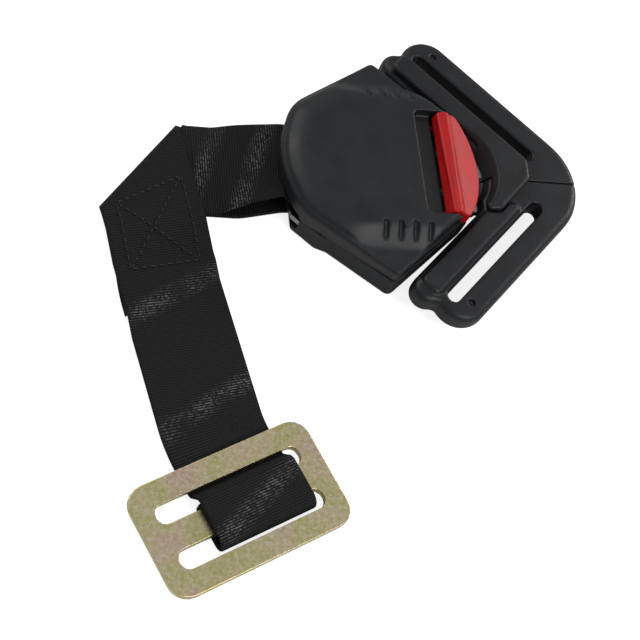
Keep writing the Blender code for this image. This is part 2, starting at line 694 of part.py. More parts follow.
def release_button():
    """Thumb button: raised lip and sloped crescent above the deck, web, ramps and spring seat below it."""
    half = BUTTON_HALF
    centre_x = BUTTON_FRONT_X - BUTTON_FRONT_R
    sweep = math.degrees(math.asin((half - 0.4) / BUTTON_FRONT_R))
    plan = arc(centre_x, 0, BUTTON_FRONT_R, -sweep, sweep, 14)
    plan += [(centre_x + 25.0, half), (BUTTON_BACK + 1.2, half), (BUTTON_BACK + 0.3, half - 0.4),
             (BUTTON_BACK, half - 1.2), (BUTTON_BACK, -half + 1.2), (BUTTON_BACK + 0.3, -half + 0.4),
             (BUTTON_BACK + 1.2, -half), (centre_x + 25.0, -half)]
    over = POCKET_FLOOR + GAP
    throat = BUTTON_BACK + BUTTON_TRAVEL
    under = POCKET_FLOOR - DECK - WALL + GAP
    profile = [(BUTTON_BACK - 2, over, 0.0), (throat, over, 0.0), (throat, under, 0.0), (45.0, under, 0.0),
               (45.0, under + 0.2, 0.0), (BUTTON_RIDGE + 1.2, BUTTON_TOP - 1.7, 1.2), (BUTTON_RIDGE - 0.6, BUTTON_TOP, 1.4),
               (BUTTON_BACK, BUTTON_TOP - 0.6, 0.9), (BUTTON_BACK - 2, BUTTON_TOP - 4.0, 0.0)]
    body = side_prism("profile", rounded(profile, 3), -half - 2, half + 2)
    combine(body, "INTERSECT", [prism("plan", [plan], under - 2, BUTTON_TOP + 2)])
    web_top = POCKET_FLOOR - DECK - GAP
    web = [(SEAT_X - 2.5, -ARM_OUTER), (SEAT_X + 2.0, -ARM_OUTER), (throat + 1.2, -SPRING_Y - 6),
           (throat + 1.2, SPRING_Y + 6), (SEAT_X + 2.0, ARM_OUTER), (SEAT_X - 2.5, ARM_OUTER)]
    fuse(body, prism("web", [web], under, web_top),
         box("seat", (SEAT_X, -SPRING_Y - 4, FLANGE_LOW), (SEAT_X + 2.0, SPRING_Y + 4, under + 0.7)))
    ramp_x = LATCH_X + LATCH_THICK
    slope = LATCH_LIFT / BUTTON_TRAVEL
    shelf = EAR_Z - GAP
    ramp_run = (web_top - 0.3 - shelf) / slope
    ramp = [(ramp_x - 8.5, shelf - 1.8), (ramp_x + 3.0, shelf - 1.8), (ramp_x + ramp_run + 2, under),
            (SEAT_X + 1, under), (SEAT_X + 1, web_top - 0.3), (ramp_x + ramp_run, web_top - 0.3),
            (ramp_x, shelf), (ramp_x - 8.5, shelf)]
    for low in (-ARM_OUTER, ARM_INNER):
        fuse(body, side_prism("ramp", ramp, low, low + ARM_WIDTH))
    part("release_button", body, "button_red", (BUTTON_BACK, 0, POCKET_FLOOR))


# Tongues

def on_arm(total, difference):
    """A point of the +Y arm from x + y and x - y."""
    return ((total + difference) / 2, (total - difference) / 2)


LOOP_END = (30.0, 48.2)      # centre of the loop's round end
LOOP_END_R = 9.9
LOBE = (18.0, 45.7)          # centre of the inner bar's round end
LOBE_R = 5.8
RIB_IN = 58.0
RIB_OUT = 70.0
RIB_END = -29.5              # x - y at the end of the raised rib
SCOOP = (29.0, 1.5)          # centre and radius of the thumb scoop
SCOOP_R = 21.0
SCOOP_FLOOR = 12.6
ROOT_X = 42.5


def arm_outline():
    """Outer edge of the +Y loop, anticlockwise from the tip of the seam."""
    tip_x = ARM_OUT - TIP_R * math.sqrt(2)
    seam_angle = math.degrees(math.asin(SEAM / TIP_R))
    outline = arc(tip_x, 0, TIP_R, seam_angle, 45, 5)
    outline += arc(*LOOP_END, LOOP_END_R, 45, 158, 8)
    outline += arc(*LOBE, LOBE_R, 80, 225, 8)
    outline += [(ROOT_X, ARM_IN - ROOT_X), (ROOT_X, SEAM)]
    return outline


def slot_cutter(side):
    """The webbing slot with flared rims; side is -1 for the lower tongue."""
    near, far = on_arm(SLOT_LINE, SLOT_NEAR), on_arm(SLOT_LINE, SLOT_FAR)
    rings = []
    for z, flare in ((TONGUE_LOW - 0.1, SLOT_FLARE), (TONGUE_LOW + SLOT_FLARE, 0.0),
                     (TONGUE_TOP - SLOT_FLARE, 0.0), (TONGUE_TOP + 0.1, SLOT_FLARE)):
        radius = SLOT_WIDTH / 2 + flare
        outline = arc(*near, radius, -135, 45, 6) + arc(*far, radius, 45, 225, 6)
        rings.append([(x, side * y, z) for x, y in outline])
    return loft("slot", rings)


def rib_outline():
    """The raised bar between the slot and the cover's edge."""
    return [(*on_arm(RIB_IN, RIB_END), 2.5), (*on_arm(RIB_IN, RIB_IN - 26), 1.0),
            (*on_arm(RIB_OUT, RIB_OUT - 16.2), 2.0), (*on_arm(RIB_OUT, RIB_END), 2.5)]


def block_outline(spread=0.0):
    """The upper tongue's block, which overlaps the lower tongue's root."""
    corners = [(ROOT_X + 1, -14.5, 0.5), (49.0, -14.5, 2.0), (62.3, -0.6, 2.0), (62.3, 7.7, 2.0),
               (52.0, 18.0, 1.0), (ROOT_X + 1, 15.0, 1.0)]
    return rounded(inset(corners, [-spread] * len(corners)), 3)


def neck(side, spread=0.0, low=0.0):
    """The blade's tang inside the moulding."""
    inner, outer = 1.5 - spread, 12.2 + spread
    y0, y1 = sorted((side * inner, side * outer))
    return (ROOT_X - 3.0, y0, low - spread), (56.5 + spread, y1, low + BLADE + spread)


def scoop():
    return rod("scoop", (*SCOOP, SCOOP_FLOOR), (*SCOOP, RIB_LEFT_Z + 2.0), SCOOP_R - 0.8, 48, SCOOP_R + 0.3)


def tongue_grip(name, side, rib_top, blade_low):
    outline, rib = arm_outline(), rounded(rib_outline(), 3)
    if side < 0:
        outline, rib = mirrored(outline), mirrored(rib)
    grip = cut(prism(name, [outline], TONGUE_LOW, TONGUE_TOP, TONGUE_RIM, 3), slot_cutter(side))
    raised = prism("rib", [rib], TONGUE_TOP - 1.5, rib_top, 1.4, 3)
    if side > 0:
        fuse(grip, raised, prism("block", [block_outline()], TONGUE_TOP + GAP, rib_top, 0.9, 2))
    else:
        cut(raised, prism("block_room", [block_outline(GAP)], TONGUE_TOP - 3, rib_top + 3))
        fuse(grip, raised)
    pin_x, pin_y = 32.8, 51.1
    low, high = neck(side, GAP, blade_low)
    cut(grip, scoop(), box("tang_room", low, high),
        rod("pin_mark", (pin_x, side * pin_y, TONGUE_TOP - 1.0), (pin_x, side * pin_y, TONGUE_TOP + 1), 1.0, 10))
    part(name, grip, "tongue_moulding", (ROOT_X, 0, TONGUE_LOW))


def tongue_blade(name, side, low):
    """Steel blade with its window, and the tang that the loop is moulded round."""
    outline = [(BLADE_NOSE, -BLADE_HALF, 4.0), (ROOT_X - 0.7, -BLADE_HALF, 1.0),
               (ROOT_X - 0.7, BLADE_HALF, 1.0), (BLADE_NOSE, BLADE_HALF, 4.0)]
    front = LATCH_X + LATCH_THICK + TONGUE_PLAY + 0.5
    half = LATCH_HALF + 0.6
    window = [(LATCH_X - GAP, -half, 1.0), (front, -half, 1.0), (front, half, 1.0), (LATCH_X - GAP, half, 1.0)]
    blade = prism(name, [rounded(outline), rounded(window, 2)], low, low + BLADE)
    start, end = neck(side, 0.0, low)
    fuse(blade, box("tang", start, end))
    part(name, blade, "steel", (LATCH_X, 0, low))


# Webbing strap: a flat ribbon laid through a list of bends

STRAP_LOWER_Z = FRAME_Z - GAP - WEB_THICK / 2 - 0.05      # middle of the layer under the eye's bar
LOOP_R = 3.15                                             # loop round the eye's bar
STRAP_UPPER_Z = STRAP_LOWER_Z + 2 * LOOP_R
LAYER = WEB_THICK + LAYER_GAP
INNER_FOLD_R = LAYER / 2
OUTER_FOLD_R = LAYER * 1.5
SLANT = 90.0 - FOLD_ANGLE                                 # fold line, from straight across the strap
END_SLANT = 25.5                                          # cut of the strap's end under the fold


def go(length):
    return [("go", length)]


def bend(angle, radius, slant=0.0):
    """Turns towards the strap's upper face, or away from it where the angle is negative."""
    return [("bend", math.radians(angle), radius, math.radians(slant))]


def turn_in_plane(angle, length):
    return [("turn", math.radians(angle), length)]


def jog(height, angle, radius, slant=0.0):
    """A smooth step towards the upper face, or away from it where the height is negative."""
    a = math.radians(angle)
    straight = (abs(height) - 2 * radius * (1 - math.cos(a))) / math.sin(a)
    sign = 1 if height > 0 else -1
    return bend(sign * angle, radius, slant) + go(straight / math.cos(math.radians(slant))) \
        + bend(-sign * angle, radius, slant)


def jog_run(height, angle, radius):
    a = math.radians(angle)
    straight = (abs(height) - 2 * radius * (1 - math.cos(a))) / math.sin(a)
    return 2 * radius * math.sin(a) + straight * math.cos(a)


def lay_out(steps):
    """Bends as (start, slant, signed radius, arc length, in_plane), and the centre line's length."""
    travelled, bends = 0.0, []
    for kind, amount, *rest in steps:
        if kind == "go":
            travelled += amount
        elif kind == "bend":
            radius, slant = rest
            bends.append((travelled, slant, math.copysign(radius, amount), radius * abs(amount), False))
            travelled += radius * abs(amount) / math.cos(slant)
        else:
            bends.append((travelled, 0.0, rest[0] / amount, rest[0], True))
            travelled += rest[0]
    return bends, travelled


def folded(point, along, across, bends):
    """Where a point of the flat strap ends up; along and across say which bends it has passed."""
    place = Vector(point)
    for start, slant, radius, length, in_plane in reversed(bends):
        ahead = Vector((math.cos(slant), math.sin(slant), 0))
        distance = (along - start) * ahead.x + across * ahead.y
        if distance <= 0:
            continue
        distance = min(distance, length)
        if in_plane:
            centre, axis = Vector((start, radius, 0)), Vector((0, 0, 1))
        else:
            centre, axis = Vector((start, 0, radius)), Vector((ahead.y, -ahead.x, 0))
        turn = Matrix.Rotation(distance / radius, 3, axis)
        place = centre + turn @ (place - ahead * distance - centre)
    return place


def after_fold(radius):
    """How far a slanted fold carries the centre line on, past the fold line."""
    slant = math.radians(SLANT)
    return math.pi * radius * math.tan(slant) * math.sin(slant)


def buckle_route():
    """From the table through the frame's eye, back to the fold and down to the cut end."""
    rise = STRAP_LOWER_Z - WEB_THICK / 2
    drop = STRAP_UPPER_Z - WEB_THICK / 2 - LAYER
    loop_x = EYE_BACK + EYE_BAR - 0.65
    low_run, high_run = jog_run(rise, 13, 7), jog_run(drop, 27, 5)
    flat_end = EYE_BACK - 0.5
    steps = go(flat_end - low_run - BASE_X) + jog(rise, 13, 7) + go(loop_x - flat_end)
    steps += bend(180, LOOP_R) + go(loop_x - EYE_BACK) + jog(drop, 27, 5)
    steps += go(EYE_BACK - high_run - FOLD_X)
    steps += bend(-180, INNER_FOLD_R, SLANT)
    steps += go(DESCENT - after_fold(INNER_FOLD_R)) + jog(-2 * LAYER, 15, 8)
    steps += go(UNDER_END - DESCENT - jog_run(2 * LAYER, 15, 8))
    return steps


DESCENT = 22.5           # from the fold to where the strap drops off the layers below it
UNDER_END = 45.6         # from the fold to the cut end of the under layer
EDGE_TURN = 93.9         # from the fold to the sideways turn
TURN_LENGTH = 12.0
RISE_ANGLE = 62.0        # the strap's slope through the slide's upper slot


def slide_route():
    """From the table through the fold, down to the slide and one and a half times round its middle bar."""
    steps = go(BASE_X - FOLD_X) + bend(180, OUTER_FOLD_R, SLANT)
    steps += go(DESCENT - after_fold(OUTER_FOLD_R)) + jog(2 * LAYER, 15, 8)
    step_run = jog_run(LAYER, 14, 5) / math.cos(math.radians(END_SLANT))
    first = jog_run(2 * LAYER, 15, 8)
    steps += go(UNDER_END + 0.4 - DESCENT - first) + jog(LAYER, 14, 5, END_SLANT)
    steps += go(EDGE_TURN - UNDER_END - 0.4 - step_run) + turn_in_plane(SLIDE_TURN, TURN_LENGTH)
    half_bar = SLIDE_MID_BAR / 2
    slot_top = half_bar + SLIDE_SLOT
    entry = slot_top + 0.3
    height = 2 * LAYER + SLIDE_THICK + LAYER_GAP
    r_up, r_over = 1.9, 2.6
    a = math.radians(RISE_ANGLE)
    straight = (height - (r_up + r_over) * (1 - math.cos(a))) / math.sin(a)
    crest = entry - (r_up + r_over) * math.sin(a) - straight * math.cos(a)
    steps += go(SLIDE_SHORT / 2 + 0.2 - entry)
    steps += bend(-RISE_ANGLE, r_up) + go(straight) + bend(RISE_ANGLE, r_over)
    r_down, r_under = 3.6, height - 3.6
    low_edge = half_bar + SLIDE_SLOT - WEB_THICK / 2 - 1.1
    steps += go(crest + low_edge - r_down) + bend(90, r_down) + bend(90, r_under)
    r_inner = 0.95
    back = half_bar + GAP + WEB_THICK / 2
    steps += go(low_edge - r_under + back - r_inner) + bend(90, r_inner)
    steps += go(LAYER + SLIDE_THICK + LAYER_GAP - 2 * r_inner) + bend(90, r_inner)
    steps += go(back - r_inner + half_bar - 1.6)
    return steps


def row_places(bends, total, final_slant):
    """Places along the strap for cross sections, each with the slope of its row."""
    keys = [(0.0, 0.0)]
    stops = [0.0]
    for start, slant, radius, length, in_plane in bends:
        reach = length / math.cos(slant)
        turn = abs(length / radius)
        count = max(2, math.ceil(math.degrees(turn) / (5 if in_plane else 22)))
        stops += [start + reach * i / count for i in range(count + 1)]
        keys += [(start, math.tan(slant)), (start + reach, math.tan(slant))]
    keys.append((total, math.tan(math.radians(final_slant))))
    stops.append(total)
    places = []
    for here, there in zip(stops, stops[1:]):
        pieces = max(1, math.ceil((there - here) / 9.0))
        places += [here + (there - here) * i / pieces for i in range(pieces)]
    places.append(total)
    rows = []
    for place in places:
        for (a, low), (b, high) in zip(keys, keys[1:]):
            if a <= place <= b:
                share = 0.0 if b - a < 1e-9 else (place - a) / (b - a)
                slope = low + (high - low) * share
        if not rows or place - rows[-1][0] > 0.02:
            rows.append((place, slope))
    return rows


def in_eye(place):
    """1 where the strap passes the eye, falling to 0 on both sides of it."""
    eye = EYE_BACK + EYE_BAR - BASE_X
    loop = math.pi * LOOP_R
    return 1.0 - smooth_step(abs(place - eye - loop / 2), loop / 2, loop / 2 + SQUEEZE_RUN)


def drift(along, across, bends):
    """Sideways shift of the inner layer at a place past its fold."""
    start, slant = next((start, slant) for start, slant, radius, *_ in bends if slant)
    past = (along - start) * math.cos(slant) + across * math.sin(slant) - math.pi * INNER_FOLD_R
    return UNDER_DRIFT * smooth_step(past, 0.0, DRIFT_RUN)


def strap_sections(steps, heading, final_slant):
    """Rings of the strap's section, in world millimetres; heading is +1 or -1 along X."""
    bends, total = lay_out(steps)
    half, top = WEB_WIDTH / 2, WEB_THICK / 2
    section = [(-half, 0), (-half + WEB_SELVEDGE, -top), (half - WEB_SELVEDGE, -top), (half, 0),
               (half - WEB_SELVEDGE, top), (-half + WEB_SELVEDGE, top)]
    rings = []
    for place, slope in row_places(bends, total, final_slant):
        points = []
        narrow = 1.0 - SQUEEZE / WEB_WIDTH * in_eye(place) if heading > 0 else 1.0
        for across, height in section:
            across *= narrow
            along = place - slope * across
            if heading > 0:
                across -= drift(along, across, bends)
            x, y, z = folded((along, across, height), along, across, bends)
            points.append((BASE_X + heading * x, WEB_OFFSET + y, WEB_THICK / 2 + z))
        rings.append(points)
    return rings


def strap():
    to_buckle = strap_sections(buckle_route(), 1, END_SLANT)
    to_slide = strap_sections(slide_route(), -1, 0.0)
    item = loft("strap", list(reversed(to_slide)) + to_buckle[1:])
    part("strap_webbing", item, "webbing", (EYE_BACK, WEB_OFFSET, STRAP_LOWER_Z), 50)


def slide_matrix():
    """The slide's place, from the strap as it would lie flat through it: X along the bars, Y up the strap."""
    bends, _ = lay_out(slide_route())
    last = max(i for i, item in enumerate(bends) if item[4])
    bends = bends[:last + 1]
    centre = bends[-1][0] + TURN_LENGTH + SLIDE_SHORT / 2 + 0.2
    origin = folded((centre, SLIDE_OFFSET, 0), centre, SLIDE_OFFSET, bends)
    across = folded((centre, SLIDE_OFFSET + 1, 0), centre, SLIDE_OFFSET + 1, bends) - origin
    place = Vector((BASE_X - origin.x, WEB_OFFSET + origin.y, 0.0))
    along_bars = Vector((-across.x, across.y, 0.0)).normalized()
    up = Vector((-along_bars.y, along_bars.x, 0.0))
    matrix = Matrix.Identity(4)
    matrix.col[0][:3] = along_bars
    matrix.col[1][:3] = up
    matrix.col[3][:3] = place
    return matrix


def anchor_slide():
    half_x, half_y = SLIDE_LONG / 2, SLIDE_SHORT / 2
    r = SLIDE_CORNER
    plate = rounded([(-half_x, -half_y, r), (half_x, -half_y, r), (half_x, half_y, r), (-half_x, half_y, r)], 5)
    loops = [plate]
    for low in (SLIDE_MID_BAR / 2, -SLIDE_MID_BAR / 2 - SLIDE_SLOT):
        end, high = SLIDE_SLOT_LONG / 2, low + SLIDE_SLOT
        round_end = SLIDE_SLOT / 2 - 0.3
        loops.append(rounded([(-end, low, round_end), (end, low, round_end),
                              (end, high, round_end), (-end, high, round_end)], 4))
    low = WEB_THICK + LAYER_GAP
    item = prism("slide", loops, low, low + SLIDE_THICK, 0.7, 3)
    matrix = slide_matrix()
    item.data.transform(Matrix.Translation(matrix.translation * MM) @ matrix.to_3x3().to_4x4())
    part("anchor_slide", item, "zinc_gold", tuple(matrix.translation))


def build():
    front_cover()
    rear_cover()
    cover_screws()
    base_frame()
    latch_guide()
    guide_rivets()
    latch_plate()
    ejector()
    springs()
    release_button()
    tongue_grip("tongue_grip_left", 1, RIB_LEFT_Z, UPPER_BLADE)
    tongue_grip("tongue_grip_right", -1, RIB_RIGHT_Z, BLADE_LOW)
    tongue_blade("tongue_blade_left", 1, UPPER_BLADE)
    tongue_blade("tongue_blade_right", -1, BLADE_LOW)
    strap()
    anchor_slide()


build()
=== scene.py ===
"""Looks of the child seat belt buckle: fine mouldings, woven strap, stitching, materials, light and camera.

The frame is the CAD model's own, in metres. Sizes below are in millimetres and angles in degrees, unless a
comment says otherwise.
"""
import json
import math

import bmesh
import bpy
import numpy as np
from mathutils import Matrix, Quaternion, Vector


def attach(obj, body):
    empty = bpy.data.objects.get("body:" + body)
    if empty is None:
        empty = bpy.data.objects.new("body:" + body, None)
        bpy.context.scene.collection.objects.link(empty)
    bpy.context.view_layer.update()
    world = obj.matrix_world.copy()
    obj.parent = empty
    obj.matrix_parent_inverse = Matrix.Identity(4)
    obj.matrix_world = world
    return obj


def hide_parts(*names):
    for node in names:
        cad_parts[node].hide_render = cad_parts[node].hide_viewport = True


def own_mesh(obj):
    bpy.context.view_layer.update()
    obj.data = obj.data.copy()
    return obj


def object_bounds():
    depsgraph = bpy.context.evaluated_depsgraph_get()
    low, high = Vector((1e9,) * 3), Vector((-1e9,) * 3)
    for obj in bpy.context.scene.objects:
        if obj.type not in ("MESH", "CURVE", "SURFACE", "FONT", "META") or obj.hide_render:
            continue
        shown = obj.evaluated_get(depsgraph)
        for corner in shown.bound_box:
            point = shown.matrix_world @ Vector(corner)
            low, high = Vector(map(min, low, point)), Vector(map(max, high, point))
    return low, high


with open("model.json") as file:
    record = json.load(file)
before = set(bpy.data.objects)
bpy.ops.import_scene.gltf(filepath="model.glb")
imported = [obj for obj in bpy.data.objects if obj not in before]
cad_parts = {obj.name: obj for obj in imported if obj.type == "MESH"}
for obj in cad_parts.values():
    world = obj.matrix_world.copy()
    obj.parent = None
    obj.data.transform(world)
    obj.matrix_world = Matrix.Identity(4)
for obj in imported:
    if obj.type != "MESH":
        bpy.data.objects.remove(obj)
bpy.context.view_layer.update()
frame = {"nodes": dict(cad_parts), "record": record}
NODES = frame["nodes"]
MM = 0.001
BODY = "buckle_body"


def add_object(name, data):
    item = bpy.data.objects.new(name, data)
    bpy.context.scene.collection.objects.link(item)
    return item


def aim(item, at, target, roll=0.0):
    """Places a camera or a lamp and turns it to its target."""
    item.location = at
    item.rotation_mode = "QUATERNION"
    turn = Quaternion((0, 0, 1), math.radians(roll))
    item.rotation_quaternion = (target - at).to_track_quat("-Z", "Y") @ turn


# Camera: found by fitting the buckle's and the slide's known outlines to the photograph

CAMERA_AT = (-181.53, -285.47, 454.44)
CAMERA_TARGET = (-20.94, -57.23, 8.0)
CAMERA_ROLL = 33.34
CAMERA_LENS = 88.47
CAMERA_SENSOR = 36.0
CLIP_START = 0.01        # in metres
CLIP_END = 20.0


def add_camera():
    data = bpy.data.cameras.new("camera")
    data.lens = CAMERA_LENS
    data.sensor_width = CAMERA_SENSOR
    data.clip_start = CLIP_START
    data.clip_end = CLIP_END
    camera = add_object("camera", data)
    aim(camera, Vector(CAMERA_AT) * MM, Vector(CAMERA_TARGET) * MM, CAMERA_ROLL)
    bpy.context.scene.camera = camera


# Materials

BUMP_DISTANCE = 0.0002   # in metres
SHARP_ANGLE = 32         # edges of the CAD nodes that turn by more than this stay sharp

# Moulded plastics: slot, colour, roughness, strength and fineness of the grain
PLASTICS = [
    ("housing", (0.0105, 0.0120, 0.0140), 0.44, 0.25, 2600),
    ("tongue_moulding", (0.0105, 0.0116, 0.0135), 0.40, 0.35, 2200),
    ("button_red", (0.56, 0.004, 0.004), 0.42, 0.08, 1500),
    ("guide_plastic", (0.6, 0.6, 0.57), 0.5, 0.1, 2600),
]

# Bare steels: slot, colour, roughness
STEELS = [
    ("steel", (0.52, 0.52, 0.54), 0.33),
    ("spring_steel", (0.45, 0.45, 0.47), 0.3),
]

# Drifting hues of the yellow plating: place on the noise, colour
PLATING_HUES = [
    (0.34, (0.92, 0.66, 0.50)),
    (0.43, (0.92, 0.78, 0.44)),
    (0.50, (0.80, 0.74, 0.30)),
    (0.57, (0.94, 0.80, 0.46)),
    (0.66, (0.94, 0.66, 0.54)),
]
PLATING_FLECK = (0.90, 0.86, 0.72)

RIB = 0.86               # pitch of the webbing's cross ribs
WARP = 0.95              # pitch of the yarns that run along it
BAND_PLACES = (-152.0, -112.0, -71.0, 57.0, 75.0)      # where the slanting bands of painted highlight cross the strap
BAND_SLANT = 0.38
BAND_STEP = 2.4          # width of one stair step of a band
BAND_EDGE = 4.6          # how far from its middle a band ends
BAND_CORE = 0.8          # how far from its middle the painted highlight is at full strength
# Painted shade: the valleys between the ribs are painted far darker than the ribs' own black
VALLEY_PAINTED_SHADE = (0.0016, 0.0016, 0.0018)
RIB_BLACK = (0.0155, 0.0155, 0.0168)
# Painted highlight: a pale grey painted on the rib crests inside the slanting bands
RIB_PAINTED_GLINT = (0.17, 0.175, 0.185)


class Shader:
    """A node material built by short calls."""

    def __init__(self, name, colour, roughness, metallic=0.0):
        self.material = bpy.data.materials.new(name)
        self.material.use_nodes = True
        self.tree = self.material.node_tree
        self.bsdf = self.tree.nodes["Principled BSDF"]
        self.bsdf.inputs["Base Color"].default_value = (*colour, 1.0)
        self.bsdf.inputs["Roughness"].default_value = roughness
        self.bsdf.inputs["Metallic"].default_value = metallic

    def node(self, kind, values=None, **settings):
        item = self.tree.nodes.new(kind)
        for key, value in settings.items():
            setattr(item, key, value)
        for key, value in (values or {}).items():
            self.put(item.inputs[key], value)
        return item

    def put(self, socket, value):
        if isinstance(value, bpy.types.NodeSocket):
            self.tree.links.new(value, socket)
        else:
            socket.default_value = value

    def set(self, name, value):
        self.put(self.bsdf.inputs[name], value)

    def place(self, kind="Object"):
        """Object places in metres, or UV places in millimetres on the webbing."""
        return self.node("ShaderNodeTexCoord").outputs[kind]

    def noise(self, scale, detail, roughness=0.5):
        values = {"Vector": self.place(), "Scale": scale, "Detail": detail, "Roughness": roughness}
        return self.node("ShaderNodeTexNoise", values).outputs["Fac"]

    def maths(self, operation, a, b=0.0, c=0.0):
        item = self.node("ShaderNodeMath", operation=operation)
        for socket, value in zip(item.inputs, (a, b, c)):
            self.put(socket, value)
        return item.outputs[0]

    def remap(self, value, low, high, to_low=0.0, to_high=1.0):
        values = {"Value": value, "From Min": low, "From Max": high, "To Min": to_low, "To Max": to_high}
        return self.node("ShaderNodeMapRange", values).outputs[0]

    def mix(self, factor, a, b):
        """Mixes two colours; the node's sockets 6 and 7 and its output 2 are those for colours."""
        item = self.node("ShaderNodeMix", data_type="RGBA")
        self.put(item.inputs[0], factor)
        for socket, value in ((item.inputs[6], a), (item.inputs[7], b)):
            self.put(socket, value if isinstance(value, bpy.types.NodeSocket) else (*value, 1.0))
        return item.outputs[2]

    def ramp(self, value, stops):
        item = self.node("ShaderNodeValToRGB", {"Fac": value})
        points = item.color_ramp.elements
        while len(points) < len(stops):
            points.new(0.5)
        for point, (place, colour) in zip(points, stops):
            point.position = place
            point.color = (*colour, 1.0)
        return item.outputs["Color"]

    def bump(self, height, strength):
        values = {"Height": height, "Strength": strength, "Distance": BUMP_DISTANCE}
        self.set("Normal", self.node("ShaderNodeBump", values).outputs[0])


def moulded(name, colour, roughness, grain, size):
    """Fine moulded grain with faint handling marks."""
    shader = Shader(name, colour, roughness)
    fine = shader.noise(size, 3.0)
    marks = shader.noise(90, 4.0)
    pale = tuple(value * 1.35 for value in colour)
    shader.set("Base Color", shader.mix(shader.remap(marks, 0.35, 0.75), colour, pale))
    shader.set("Roughness", shader.remap(marks, 0.3, 0.7, roughness - 0.05, roughness + 0.06))
    shader.bump(fine, grain)
    return shader.material


def bright_steel(name, colour, roughness):
    shader = Shader(name, colour, roughness, 1.0)
    wear = shader.noise(300, 4.0)
    shader.set("Roughness", shader.remap(wear, 0.3, 0.7, roughness - 0.06, roughness + 0.08))
    return shader.material


def plated_steel():
    """Yellow zinc passivate: gold and olive with drifting pink, under pale flecks."""
    shader = Shader("zinc_gold", (0.5, 0.42, 0.22), 0.3, 1.0)
    drift = shader.noise(42, 5.0, roughness=0.6)
    flecks = shader.noise(750, 4.0, roughness=0.7)
    hue = shader.ramp(drift, PLATING_HUES)
    pale = shader.remap(flecks, 0.44, 0.66, 0.0, 0.7)
    shader.set("Base Color", shader.mix(pale, hue, PLATING_FLECK))
    shader.set("Roughness", shader.remap(flecks, 0.35, 0.65, 0.28, 0.42))
    shader.bump(flecks, 0.25)
    return shader.material


def webbing():
    """Black polyester webbing: painted shade in the valleys between the cross ribs, and stepped bands of
    painted highlight on the rib crests.
    """
    shader = Shader("webbing", (0.010, 0.010, 0.011), 0.62)
    shader.set("Specular IOR Level", 0.28)
    places = shader.node("ShaderNodeSeparateXYZ", {"Vector": shader.place("UV")}).outputs
    along, across = places[0], places[1]
    ends = shader.maths("SINE", shader.maths("MULTIPLY", across, 2 * math.pi / WARP))
    ribs = shader.maths("COSINE", shader.maths("MULTIPLY", along, 2 * math.pi / RIB))
    crest = shader.remap(ribs, -0.6, 0.7)
    step = shader.maths("FLOOR", shader.maths("DIVIDE", across, BAND_STEP))
    stair = shader.maths("MULTIPLY", step, BAND_STEP)
    lean = shader.maths("MULTIPLY", shader.maths("SIGN", along), BAND_SLANT)
    slant = shader.maths("MULTIPLY_ADD", stair, lean, along)
    nearest = 100.0
    for place in BAND_PLACES:
        away = shader.maths("ABSOLUTE", shader.maths("SUBTRACT", slant, place))
        nearest = shader.maths("MINIMUM", away, nearest)
    painted_glint_band = shader.remap(nearest, BAND_EDGE, BAND_CORE)
    specks = shader.remap(shader.noise(1300, 2.0), 0.44, 0.60)
    patches = shader.remap(shader.noise(110, 2.0), 0.30, 0.55, 0.15, 1.0)
    speckled = shader.maths("MULTIPLY", painted_glint_band, specks)
    on_crest = shader.maths("MULTIPLY", crest, patches)
    # Painted highlight: specks on the rib crests inside the bands, which also turn less rough
    painted_glint = shader.maths("MULTIPLY", speckled, on_crest)
    # Painted shade in the valleys between the ribs; the crests keep the webbing's own black
    plain = shader.mix(crest, VALLEY_PAINTED_SHADE, RIB_BLACK)
    shader.set("Base Color", shader.mix(painted_glint, plain, RIB_PAINTED_GLINT))
    shader.set("Roughness", shader.remap(painted_glint, 0.0, 1.0, 0.66, 0.34))
    shader.bump(shader.maths("MULTIPLY_ADD", ends, 0.4, ribs), 0.5)
    return shader.material


def thread():
    shader = Shader("thread", (0.016, 0.016, 0.017), 0.5)
    shader.bump(shader.noise(5000, 2.0), 0.3)
    return shader.material


def paint(item, material):
    item.data.materials.clear()
    item.data.materials.append(material)
    item.data.shade_smooth()
    item.data.set_sharp_from_angle(angle=math.radians(SHARP_ANGLE))


def paint_nodes():
    """Gives every node the material of its slot, and returns the materials by slot."""
    by_slot = {row[0]: moulded(*row) for row in PLASTICS}
    by_slot.update({row[0]: bright_steel(*row) for row in STEELS})
    by_slot["zinc_gold"] = plated_steel()
    by_slot["webbing"] = webbing()
    for entry in frame["record"]["subparts"]:
        paint(NODES[entry["node"]], by_slot[entry["material_slot"]])
    return by_slot


# Solids, made in millimetres and cut like the CAD model's

HELPERS = []             # objects that only serve the piece in work; finished() removes them
RIM_STEPS = 5            # steps of a rounded rim
LEAST_RADIUS = 0.2       # of a corner that is moved inwards
ON_SEAM = 0.2            # an outline's edge this near to Y = 0 lies on the seam between the loops
STRAIGHT_ON = 0.02       # a corner whose sine is under this counts as straight


def mesh_object(name, bm, helper=True):
    """An object in metres from a closed mesh in millimetres, with its faces outwards."""
    bmesh.ops.recalc_face_normals(bm, faces=bm.faces)
    if bm.calc_volume(signed=True) < 0:
        bmesh.ops.reverse_faces(bm, faces=bm.faces)
    bm.transform(Matrix.Scale(MM, 4))
    mesh = bpy.data.meshes.new(name)
    bm.to_mesh(mesh)
    bm.free()
    item = add_object(name, mesh)
    if helper:
        HELPERS.append(item)
    return item


def evaluated_mesh(item):
    """The item's form with its modifiers applied, as a mesh of its own."""
    return bpy.data.meshes.new_from_object(item.evaluated_get(bpy.context.evaluated_depsgraph_get()))


def box(name, low, high):
    bm = bmesh.new()
    bmesh.ops.create_cube(bm, size=1.0)
    size = [b - a for a, b in zip(low, high)]
    centre = [(a + b) / 2 for a, b in zip(low, high)]
    bm.transform(Matrix.Translation(centre) @ Matrix.Diagonal((*size, 1.0)))
    return mesh_object(name, bm)


